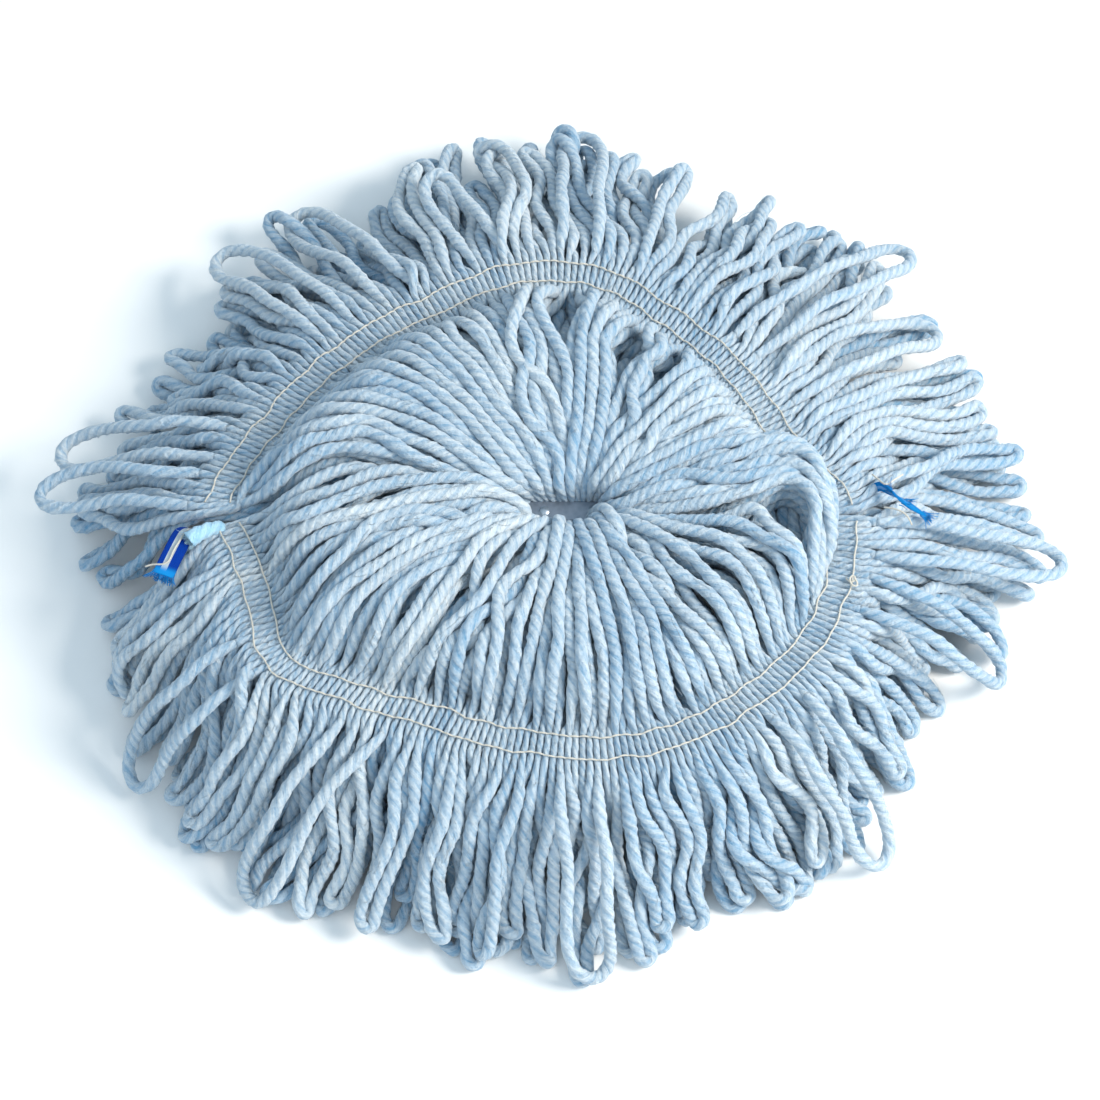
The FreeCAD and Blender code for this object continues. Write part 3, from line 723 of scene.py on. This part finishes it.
# ---- the yarn's skin
def spline_rings(values, steps):
    """A uniform cubic B-spline along axis 1 of the values, with steps rings to each point."""
    lead = 2 * values[:, :1] - values[:, 1:2]
    tail = 2 * values[:, -1:] - values[:, -2:-1]
    padded = np.concatenate([lead, values, tail], axis=1)
    spans = values.shape[1] - 1
    rings = np.empty((len(values), spans * steps + 1, values.shape[2]))
    for step in range(steps):
        t = step / steps
        basis = ((1 - t) ** 3 / 6, (3 * t ** 3 - 6 * t ** 2 + 4) / 6,
                 (-3 * t ** 3 + 3 * t ** 2 + 3 * t + 1) / 6, t ** 3 / 6)
        rings[:, step:-1:steps] = sum(part * padded[:, shift:shift + spans]
                                      for shift, part in enumerate(basis))
    rings[:, -1] = values[:, -1]
    return rings


def ply_outline():
    """Radius, as a share of the yarn's, around a section of three plies twisted together."""
    around = PLY_COUNT * POINTS_PER_PLY
    turn = 2 * math.pi * np.arange(around) / around
    lobe = (turn + math.pi / PLY_COUNT) % (2 * math.pi / PLY_COUNT) - math.pi / PLY_COUNT
    side = PLY_REACH * np.sin(lobe)
    return turn, PLY_REACH * np.cos(lobe) + np.sqrt((1 - PLY_REACH) ** 2 - side ** 2)


def level_and_rise(tangent):
    """Unit vectors square to the tangents: one level, one in the upright plane."""
    level = unit(np.cross(tangent, np.array([0.0, 0.0, 1.0])))
    return level, np.cross(level, tangent)


def skin(centres, wide, tall, twist):
    """Points around each ring of each yarn, and the length along it."""
    count, rings, _ = centres.shape
    tangent = unit(np.gradient(centres, axis=1))
    along = lengths_along(centres)
    across = np.empty_like(centres)
    across[:, 0] = level_and_rise(tangent[:, 0])[0]
    for ring in range(1, rings):
        carried = across[:, ring - 1]
        slip = (carried * tangent[:, ring]).sum(axis=1, keepdims=True)
        across[:, ring] = unit(carried - slip * tangent[:, ring])
    over = np.cross(tangent, across)
    turn, outline = ply_outline()
    angle = turn[None, None, :] + (twist - 2 * math.pi * along / PLY_PITCH)[:, :, None]
    reach = outline[None, None, :] * (1 + ROUGH_SHARE * RANDOM.normal(0, 1, angle.shape))
    offset = (across[:, :, None] * (np.cos(angle) * reach)[..., None]
              + over[:, :, None] * (np.sin(angle) * reach)[..., None]) * YARN_RADIUS
    for direction, size in zip(level_and_rise(tangent), (wide, tall)):
        part = (offset * direction[:, :, None]).sum(axis=3, keepdims=True)
        offset += part * direction[:, :, None] * (size / YARN_RADIUS - 1)[:, :, None, None]
    return centres[:, :, None] + offset, along


def lint(centres, surface):
    """Fine stray fibres that lie along one yarn and stand a little off it."""
    rings, around, _ = surface.shape
    ring = RANDOM.integers(2, rings - 12, LINT_PER_YARN)
    place = surface[ring, RANDOM.integers(0, around, LINT_PER_YARN)]
    outward = unit(place - centres[ring])
    reach = RANDOM.uniform(2, 10, LINT_PER_YARN).astype(int)
    forward = centres[ring + reach] - centres[ring]
    sideways = np.cross(outward, unit(forward)) * RANDOM.normal(0, LINT_SWERVE, (LINT_PER_YARN, 1))
    lifted = outward * RANDOM.uniform(*LINT_RISE, (LINT_PER_YARN, 1))
    share = np.linspace(0, 1, 5)[None, :, None]
    lines = (place[:, None] + forward[:, None] * share + sideways[:, None] * share ** 2
             + lifted[:, None] * np.sin(math.pi * share))
    return [(*tube_rings(line, LINT_RADIUS, 3), LINT_TONE) for line in lines]


def put_object(name, data, place=(0, 0, 0), aim=None):
    """Add an object of this data to the scene, where it looks at its aim."""
    item = bpy.data.objects.new(name, data)
    item.location = place
    if aim is not None:
        item.rotation_euler = (Vector(aim) - Vector(place)).to_track_quat("-Z", "Y").to_euler()
    bpy.context.scene.collection.objects.link(item)
    return item


def tube_mesh(name, runs, material):
    """One mesh of closed tubes; runs are (rings of points, lengths along, tone)."""
    corners = []
    faces = []
    coords = []
    tones = []
    caps = []
    start = 0
    for rings, along, tone in runs:
        count, around, _ = rings.shape
        corners.append(rings.reshape(-1, 3))
        index = start + np.arange(count * around).reshape(count, around)
        following = np.roll(index, -1, axis=1)
        quads = np.stack([index[:-1], following[:-1], following[1:], index[1:]], axis=2)
        faces.append(quads.reshape(-1, 4))
        low = np.arange(around) / around
        high = low + 1 / around
        square = np.empty((count - 1, around, 4, 2))
        square[..., 0] = np.stack([low, high, high, low], axis=1)[None]
        square[..., 1] = np.stack([along[:-1], along[:-1], along[1:], along[1:]], axis=1)[:, None]
        coords.append(square.reshape(-1, 2))
        tones.append(np.repeat(np.broadcast_to(tone, count), around))
        caps += [index[0, ::-1].tolist(), index[-1].tolist()]
        start += count * around
    faces = np.concatenate(faces).tolist() + caps
    coords = np.concatenate([*coords, np.zeros((sum(len(cap) for cap in caps), 2))])
    mesh = bpy.data.meshes.new(name)
    mesh.from_pydata(np.concatenate(corners).tolist(), [], faces)
    layer = mesh.uv_layers.new(name="strand")
    layer.data.foreach_set("uv", coords.astype(np.float32).reshape(-1))
    tone = mesh.attributes.new("tone", "FLOAT", "POINT")
    tone.data.foreach_set("value", np.concatenate(tones).astype(np.float32))
    smooth = np.ones(len(faces), bool)
    smooth[len(faces) - len(caps):] = False
    mesh.polygons.foreach_set("use_smooth", smooth)
    mesh.materials.append(material)
    return put_object(name, mesh)


# ---- materials
class Surface:
    """A material whose nodes are added by short calls; an input takes a value or a node's socket."""

    def __init__(self, name, **settings):
        self.material = bpy.data.materials.new(name)
        self.material.use_nodes = True
        self.nodes = self.material.node_tree.nodes
        self.shade(settings)

    def feed(self, node, inputs):
        """Set or link the inputs of a node."""
        for key, value in inputs.items():
            if isinstance(value, bpy.types.NodeSocket):
                self.material.node_tree.links.new(value, node.inputs[key])
            else:
                node.inputs[key].default_value = value

    def shade(self, settings):
        """Set or link the inputs of the main shader, named with underscores."""
        self.feed(self.nodes["Principled BSDF"],
                  {key.replace("_", " "): value for key, value in settings.items()})

    def add(self, kind, inputs=(), output=0, **settings):
        """Add a node and give its output socket."""
        node = self.nodes.new("ShaderNode" + kind)
        for key, value in settings.items():
            setattr(node, key, value)
        self.feed(node, dict(inputs))
        return node.outputs[output]

    def math(self, operation, *inputs):
        return self.add("Math", enumerate(inputs), operation=operation)

    def noise(self, vector, scale, **inputs):
        return self.add("TexNoise", {"Vector": vector, "Scale": scale, **inputs})

    def diagonal_wave(self, vector, **inputs):
        return self.add("TexWave", {"Vector": vector, "Scale": 1.0, **inputs}, "Fac",
                        bands_direction="DIAGONAL")

    def scaled(self, vector, scale):
        return self.add("Mapping", {"Vector": vector, "Scale": scale})

    def strand(self):
        """The place on a tube: share of the way around it, and metres along it."""
        return self.add("UVMap", uv_map="strand")

    def place(self):
        return self.add("TexCoord", output="Object")

    def tone(self):
        return self.add("Attribute", output="Fac", attribute_name="tone")

    def mix(self, factor, first, second):
        """A colour between a colour, or a socket, and another colour."""
        first = first if isinstance(first, bpy.types.NodeSocket) else (*first, 1)
        return self.add("Mix", {0: factor, 6: first, 7: (*second, 1)}, 2, data_type="RGBA")

    def finish(self, colour, relief, strength, depth, **settings):
        """Colour the main shader, give it relief and return the material."""
        bump = self.add("Bump", {"Strength": strength, "Distance": depth, "Height": relief})
        self.shade({"Base Color": colour, "Normal": bump, **settings})
        return self.material


def yarn_material(name, dark, light):
    """Soft spun cotton: fine fibres along each ply, faint patches of tone, painted shade along the
    creases between the plies and a dry sheen.
    """
    yarn = Surface(name, Roughness=0.92, Specular_IOR_Level=0.18, Sheen_Weight=0.45,
                   Sheen_Roughness=0.5)
    strand = yarn.strand()
    place = yarn.place()
    fibre = yarn.noise(yarn.scaled(strand, (17, 260, 1)), 1.0, Detail=4.0, Roughness=0.68)
    patch = yarn.noise(place, 26.0, Detail=2.0)
    fine = yarn.noise(place, 620.0, Detail=2.0)
    turn = yarn.math("MULTIPLY", yarn.add("SeparateXYZ", {0: strand}), 2 * math.pi * PLY_COUNT)
    # Painted shade: the colour darkens towards the creases between the plies, 0 on each ply's crest and
    # 1 in each crease.
    painted_crease_shade = yarn.math("MULTIPLY_ADD", yarn.math("COSINE", turn), -0.5, 0.5)
    total = yarn.math("MULTIPLY_ADD", fibre, 1.3, -0.67)
    for part in (yarn.math("MULTIPLY", fine, 0.4),
                 yarn.math("MULTIPLY_ADD", patch, 0.42, -0.14),
                 yarn.math("MULTIPLY_ADD", yarn.math("POWER", painted_crease_shade, 1.7), -0.3, 0.08),
                 yarn.tone()):
        total = yarn.math("ADD", total, part)
    return yarn.finish(yarn.mix(total, dark, light), yarn.math("ADD", fibre, fine), 1.0, 0.0009)


def thread_material():
    """Off-white sewing thread with a fine twist."""
    thread = Surface("sewing_thread", Roughness=0.7, Sheen_Weight=0.3)
    twist = thread.diagonal_wave(thread.scaled(thread.strand(), (3, 900, 1)), Distortion=0.6)
    return thread.finish(thread.mix(twist, (0.52, 0.45, 0.36), (0.80, 0.76, 0.68)), twist, 0.5, 0.0002)


def tape_material():
    """Woven tape: two ribbed dark blue stripes, a pale middle and a brighter blue near the ends."""
    tape = Surface("woven_tape", Roughness=0.8, Specular_IOR_Level=0.15)
    strand = tape.strand()
    fold = tape.math("ABSOLUTE", tape.math("SUBTRACT", tape.add("SeparateXYZ", {0: strand}), 0.5))
    gap = tape.math("ABSOLUTE", tape.math("SUBTRACT", fold, 0.25))
    weave = tape.diagonal_wave(tape.scaled(strand, (24, 1500, 1)), Distortion=1.2, Detail=1.0)
    blue = tape.mix(weave, (0.0, 0.02, 0.22), (0.0, 0.085, 0.62))
    striped = tape.mix(tape.math("LESS_THAN", gap, 0.035), blue, (0.72, 0.78, 0.82))
    return tape.finish(tape.mix(tape.tone(), striped, (0.01, 0.36, 0.92)), weave, 0.8, 0.0004)


def metal_material(name, dark, light, roughness):
    """Zinc-plated steel: cloudy spangle, fine scratches along the bar."""
    zinc = Surface(name, Metallic=0.85)
    place = zinc.place()
    spangle = zinc.add("TexVoronoi", {"Vector": place, "Scale": 420.0}, "Distance")
    cloud = zinc.noise(place, 90.0, Detail=4.0)
    scratch = zinc.noise(zinc.scaled(place, (60, 2600, 2600)), 1.0, Detail=2.0)
    total = zinc.math("ADD", zinc.math("MULTIPLY", spangle, 0.4), zinc.math("MULTIPLY", cloud, 0.7))
    return zinc.finish(zinc.mix(total, dark, light), scratch, 0.15, 0.0002,
                       Roughness=zinc.math("MULTIPLY_ADD", cloud, 0.25, roughness))


def plastic_material():
    """Moulded grey plastic with a fine grain and faint flow marks."""
    plastic = Surface("moulded_plastic")
    place = plastic.place()
    grain = plastic.noise(place, 900.0, Detail=3.0)
    flow = plastic.noise(place, 40.0, Detail=3.0, Distortion=0.6)
    colour = plastic.mix(flow, (0.23, 0.27, 0.31), (0.33, 0.37, 0.41))
    return plastic.finish(colour, grain, 0.25, 0.0002,
                          Roughness=plastic.math("MULTIPLY_ADD", flow, 0.2, 0.34))


def floor_material():
    """Matt pale paper."""
    paper = Surface("pale_floor", Roughness=0.95)
    cloud = paper.noise(paper.place(), 2.0)
    paper.shade({"Base Color": paper.mix(cloud, (0.94, 0.92, 0.90), (0.96, 0.94, 0.92))})
    return paper.material


YARN_MATERIAL = yarn_material("cotton_yarn", (0.14, 0.325, 0.51), (0.74, 0.775, 0.785))
CUT_MATERIAL = yarn_material("cut_yarn", (0.22, 0.50, 0.72), (0.55, 0.80, 0.93))
THREAD_MATERIAL = thread_material()
TAPE_MATERIAL = tape_material()


# ---- the yarn pieces
def place_piece(piece, nodes=()):
    """The piece rides with the mop head and stands for these CAD nodes, which it hides."""
    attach(piece, "root")
    if nodes:
        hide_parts(*nodes)


def lay_all_yarn():
    """The loops of both fans, their chains and which points are free and which loops lie under."""
    loops = []
    chains = []
    free = []
    under = []
    for fan_name, start, stop, tables, side in FANS:
        span = (math.radians(start), math.radians(stop))
        for count, below in ((TAILS_PER_FAN, False), (UNDER_TAILS_PER_FAN, True)):
            fan = lay_fan(span, tables, side, count, below)
            some, laid, loose = build_chains(fan, [] if below else FAN_LOOPS[fan_name])
            for name, *slots in some:
                bundles = ["%s_yarn_bundle_%02d" % (fan_name, 1 + int(slot / count * BUNDLES_PER_FAN))
                           for slot in slots]
                loops.append((name, *bundles))
            chains.append(laid)
            free.append(loose)
            under += [below] * len(some)
    return loops, np.concatenate(chains), np.concatenate(free), np.array(under)


def make_all_yarn():
    """All the yarn of the mop head, relaxed together, skinned and cut into its pieces."""
    loops, chains, free, under = lay_all_yarn()
    wide, tall = yarn_widths(chains, under)
    chains = relax(chains, free, wide, ROUNDS)
    values = np.concatenate([chains, wide[..., None], tall[..., None]], axis=2)
    rings = spline_rings(values, RINGS_PER_STEP)
    slub = 1 + SLUB_SHARE * wander(len(chains), rings.shape[1], 90, 30, 9)
    rings[..., 3:] *= slub[..., None]
    twist = RANDOM.uniform(0, 2 * math.pi, len(chains))[:, None]
    twist = twist + TWIST_DRIFT * wander(len(chains), rings.shape[1], 90, 9)
    skinned, along = skin(rings[..., :3], rings[..., 3], rings[..., 4], twist)
    # UNDER_SHADE darkens the lower layer's tails: painted shade for the yarn that lies under the upper
    # tails.
    tones = YARN_TONE + RANDOM.normal(0, TONE_SPREAD, len(chains)) - np.where(under, UNDER_SHADE, 0)

    runs = defaultdict(list)
    last = skinned.shape[1] - 1
    root = RINGS_PER_STEP
    out = FREE_FIRST * RINGS_PER_STEP
    back = (FREE_LAST - 1) * RINGS_PER_STEP
    for index, (name, first_bundle, second_bundle) in enumerate(loops):

        def cut(piece_name, start, stop):
            runs[piece_name].append((skinned[index, start:stop + 1], along[index, start:stop + 1],
                                     tones[index]))

        cut("yarn_waist", 0, root)
        cut("yarn_waist", last - root, last)
        if name:
            cut(first_bundle, root, out)
            cut(second_bundle, back, last - root)
            cut(name, out, back)
        else:
            cut(first_bundle, root, last - root)
            if not under[index]:
                runs[first_bundle] += lint(rings[index, root:last - root, :3],
                                           skinned[index, root:last - root])
    for name, parts in runs.items():
        piece = tube_mesh(name + "_strands", parts, YARN_MATERIAL)
        place_piece(piece, [name])
        if name in LOOP_ROUTES:
            line = spline_line(name, LOOP_ROUTES[name])
            LOOP_ROUTES[name][0]


# ---- stitching, tapes and the cut end
def tube_rings(line, radius, around=8, flat=1.0):
    """Rings around a line, and the length along it; flat squeezes its height."""
    tangent = unit(np.gradient(line, axis=0))
    up = np.array([0.0, 0.0, 1.0])
    side = unit(np.cross(tangent, up) + np.array([1e-9, 0, 0]))
    over = np.cross(side, tangent)
    turn = 2 * math.pi * np.arange(around) / around
    radius = np.broadcast_to(radius, len(line))[:, None, None]
    rings = line[:, None] + radius * (side[:, None] * np.cos(turn)[:, None]
                                      + over[:, None] * np.sin(turn)[:, None] * flat)
    return rings, lengths_along(line)


def make_stitching(name, shift):
    """One row of lockstitch: the thread lies on the yarn and dips at each hole."""
    angles, radii = radius_table(node_tree(name), (STITCH_LOW.z + STITCH_HIGH.z) / 2, False, 1.0)
    radii = radii + THREAD_WIDTH / 2
    row = np.stack([radii * np.cos(angles), radii * np.sin(angles), np.zeros(len(angles))], axis=1)
    count = int(line_length(row) / THREAD_STEP)
    row = evenly(row[None], count)[0]
    distance = np.arange(count) * THREAD_STEP
    stitch = np.abs(np.sin(math.pi * distance / STITCH_LENGTH + shift))
    row = row + unit(row) * (STITCH_WOBBLE * wander(count, 1, 30, 0))
    row[:, 2] = BAND_TOP + (STITCH_RISE * stitch ** 0.5 - STITCH_SINK) * MM
    rings, along = tube_rings(row, THREAD_RADIUS * (0.8 + 0.2 * stitch))
    piece = tube_mesh(name + "_thread", [(rings, along, 0.0)], THREAD_MATERIAL)
    place_piece(piece, [name])


def ribbon_rings(line, side, half, thickness, around=24):
    """Rings of a flat ribbon with rounded edges along a line, for tube_mesh."""
    tangent = unit(np.gradient(line, axis=0))
    over = unit(np.cross(side, tangent))
    over = over * np.where(over[:, 2:] < 0, -1, 1)
    turn = 2 * math.pi * (np.arange(around) + 0.5) / around
    flat = np.sign(np.cos(turn)) * np.abs(np.cos(turn)) ** 0.75
    rise = np.sign(np.sin(turn)) * np.abs(np.sin(turn)) ** 0.35
    half = np.broadcast_to(half, len(line))[:, None, None]
    rings = line[:, None] + half * side[:, None] * flat[:, None]
    rings = rings + thickness / 2 * over[:, None] * rise[:, None]
    return rings, lengths_along(line)


def smooth_line(points, count):
    """A smooth line of count points near given points in millimetres."""
    points = np.array(points) * MM
    return evenly(spline_rings(points[None], 8), count)[0]


def frayed_fibres(centre, along, side, count, length, spread, radius):
    """Fine loose fibres from around a cut end."""
    runs = []
    along, side = unit(np.array(along, float)), unit(np.array(side, float))
    over = np.cross(side, along)
    for _ in range(count):
        place = RANDOM.uniform(-1, 1)
        start = np.array(centre) * MM + side * place * spread * MM
        bend = side * (0.35 * place + RANDOM.normal(0, 0.25)) + over * RANDOM.normal(0.05, 0.2)
        reach = length * RANDOM.uniform(0.5, 1.0) * MM
        share = np.linspace(0, 1, 7)[:, None]
        line = start + along * reach * (share - 0.25) + bend * reach * share ** 2
        rings, ways = tube_rings(line, radius * MM * (1 - 0.6 * share[:, 0]), 5)
        runs.append((rings, ways, RANDOM.uniform(0.55, 1.0)))
    return runs


def make_tapes():
    """Both tapes under the band; the rear one's ends fold up, one flat and one as a twisted end."""
    low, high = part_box("front_tape")
    for name, first, last in [("rear_tape", 2, 178), ("front_tape", 184, 356)]:
        angles = np.radians(np.linspace(first, last, 160))
        radius = band_radius(angles) - TAPE_INSET
        line = np.stack([radius * np.cos(angles), radius * np.sin(angles),
                         np.full(len(angles), (low.z + high.z) / 2)], axis=1)
        side = unit(line * np.array([1, 1, 0]))
        runs = [(*ribbon_rings(line, side, TAPE_HALF, TAPE_THICK), 0.0)]
        if name == "rear_tape":
            runs += left_tape_end() + right_tape_end()
        place_piece(tube_mesh(name + "_weave", runs, TAPE_MATERIAL), [name])


def left_tape_end():
    """The flat end that folds up and lies on the tails."""
    line = smooth_line([(-147, -3, 47), (-148.6, -6, 53), (-150.3, -9.6, 57.4), (-151.7, -14, 59),
                        (-153.4, -18.4, 59.2), (-155.6, -23.4, 58.6), (-157.8, -28.4, 57)], 60)
    side = unit(np.array([[0.92, -0.38, 0.05]]))
    rings, along = ribbon_rings(line, np.repeat(side, 60, axis=0), TAPE_END_HALF, TAPE_END_THICK)
    tone = eased(along - along[-1] + 4.5 * MM, 3 * MM)
    return [(rings, along, tone)] + frayed_fibres((-157.5, -27.8, 57.3), (-0.4, -0.9, -0.2), side[0],
                                                  90, 5.5, 4.4, 0.34)


def right_tape_end():
    """The narrow twisted end that comes up between the tails."""
    line = smooth_line([(118, 12, 47), (120.5, 13.2, 53), (122.8, 12.6, 57.2), (126, 8.6, 59.4),
                        (130, 4.6, 59.8), (135, 1, 59), (140.5, -2, 57.4)], 50)
    share = np.linspace(0, 1, 50)
    turn = 0.9 + 1.3 * np.sin(5 * share)
    level, rise = level_and_rise(unit(np.gradient(line, axis=0)))
    side = level * np.cos(turn)[:, None] + rise * np.sin(turn)[:, None]
    half = TWISTED_END_HALF * (1 - 0.75 * share ** 3)
    rings, along = ribbon_rings(line, side, half, TWISTED_END_THICK)
    runs = [(rings, along, 0.75 + 0.25 * eased(share - 0.5, 0.4))]
    for centre, way, count, length, spread, radius in [
            ((139.5, -1.6, 57.7), (0.78, -0.6, -0.1), 26, 6.0, 1.2, 0.3),
            ((132, 3.2, 59.6), (0.6, -0.2, 0.1), 16, 5.0, 2.0, 0.22),
            ((126, 8.6, 59.4), (-0.7, 0.5, 0.2), 10, 4.0, 1.5, 0.22)]:
        runs += frayed_fibres(centre, way, (0.6, 0.78, 0), count, length, spread, radius)
    return runs


def make_cut_end():
    """The short cut end of yarn beside the tape's flat end."""
    line = smooth_line([(-136, -5.5, 55), (-139.5, -7.6, 57.8), (-143, -10.4, 60),
                        (-145.8, -12.6, 60.6), (-148, -14.2, 60)], 26)
    width = YARN_RADIUS * (1.1 + 0.3 * np.linspace(0, 1, 26) ** 2)
    skinned, along = skin(line[None], width[None], width[None] * 0.9, np.zeros((1, 1)))
    fray = frayed_fibres((-147.2, -13.6, 60.2), (-0.85, -0.5, -0.1), (0.5, -0.85, 0), 70, 4.5, 3.0, 0.2)
    runs = [(skinned[0], along[0], 0.4)] + fray
    place_piece(tube_mesh("yarn_cut_end_fray", runs, CUT_MATERIAL), ["yarn_cut_end"])


def make_thread_ends():
    """Loose ends of sewing thread: on the tape's flat end, and a tangle on the front fan's rows."""
    routes = [
        ([(-148.5, -7.4, 57), (-150.3, -11.4, 59.6), (-151.6, -15, 60.6), (-154.2, -19.6, 60.6),
          (-155, -23.4, 59.8), (-158, -24.8, 58.8), (-161.5, -23.6, 57.8), (-165, -24.2, 56.6)], 50),
        ([(108, -30, 57.6), (109.5, -33, 58.8), (112, -31.5, 59.4), (110.5, -29, 59.2),
          (108.6, -31.5, 59.3), (110.6, -35, 58.9), (112.8, -33.6, 59.2), (111, -31, 59.6)], 60),
        ([(120, 18, 56), (123, 13.4, 58.4), (125, 10, 60.4), (127.5, 13.4, 59), (132, 18, 56)], 40),
        ([(124, 3, 56), (129, 0.8, 58.6), (133, -2, 58.6), (134.5, -6, 57.6)], 40)]
    runs = [(*tube_rings(smooth_line(points, count), THREAD_RADIUS), 0.0) for points, count in routes]
    place_piece(tube_mesh("loose_thread_ends", runs, THREAD_MATERIAL))


def make_stage():
    """Pale floor, soft lights and the camera."""
    bpy.ops.mesh.primitive_plane_add(size=FLOOR_SIZE, location=(0, 0, 0))
    floor = bpy.context.object
    floor.name = "pale_floor"
    floor.data.materials.append(floor_material())
    scene = bpy.context.scene
    scene.world = bpy.data.worlds.new("studio")
    scene.world.use_nodes = True
    sky = scene.world.node_tree.nodes["Background"]
    sky.inputs["Color"].default_value = (*SKY_COLOUR, 1)
    sky.inputs["Strength"].default_value = SKY_STRENGTH
    for name, place, size, power, colour in LIGHTS:
        light = bpy.data.lights.new(name, "AREA")
        light.size = size
        light.energy = power
        light.color = colour
        put_object(name, light, place, (0, 0, 0))
    camera = bpy.data.cameras.new("camera")
    camera.lens = CAMERA_LENS
    camera.sensor_width = 36.0
    camera.clip_end = 20
    scene.camera = put_object("camera", camera, CAMERA_PLACE, CAMERA_AIM)
    scene.view_settings.view_transform = "Standard"


def dress_cad_nodes():
    """Better materials on the CAD nodes that stay visible."""
    for name, slot_name, material in [
            ("handle_socket", "socket_plastic", plastic_material()),
            ("clamp_bar", "clamp_metal",
             metal_material("zinc_bar", (0.17, 0.21, 0.26), (0.42, 0.46, 0.53), 0.34)),
            ("clamp_rivets", "rivet_metal",
             metal_material("zinc_rivet", (0.30, 0.36, 0.42), (0.62, 0.68, 0.74), 0.2))]:
        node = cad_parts[name]
        node.data.materials.clear()
        node.data.materials.append(material)


make_all_yarn()
for turn, row_name in enumerate(("rear_outer_stitching", "rear_inner_stitching",
                                 "front_outer_stitching", "front_inner_stitching")):
    make_stitching(row_name, 0.7 * turn)
make_tapes()
make_cut_end()
make_thread_ends()
dress_cad_nodes()
make_stage()
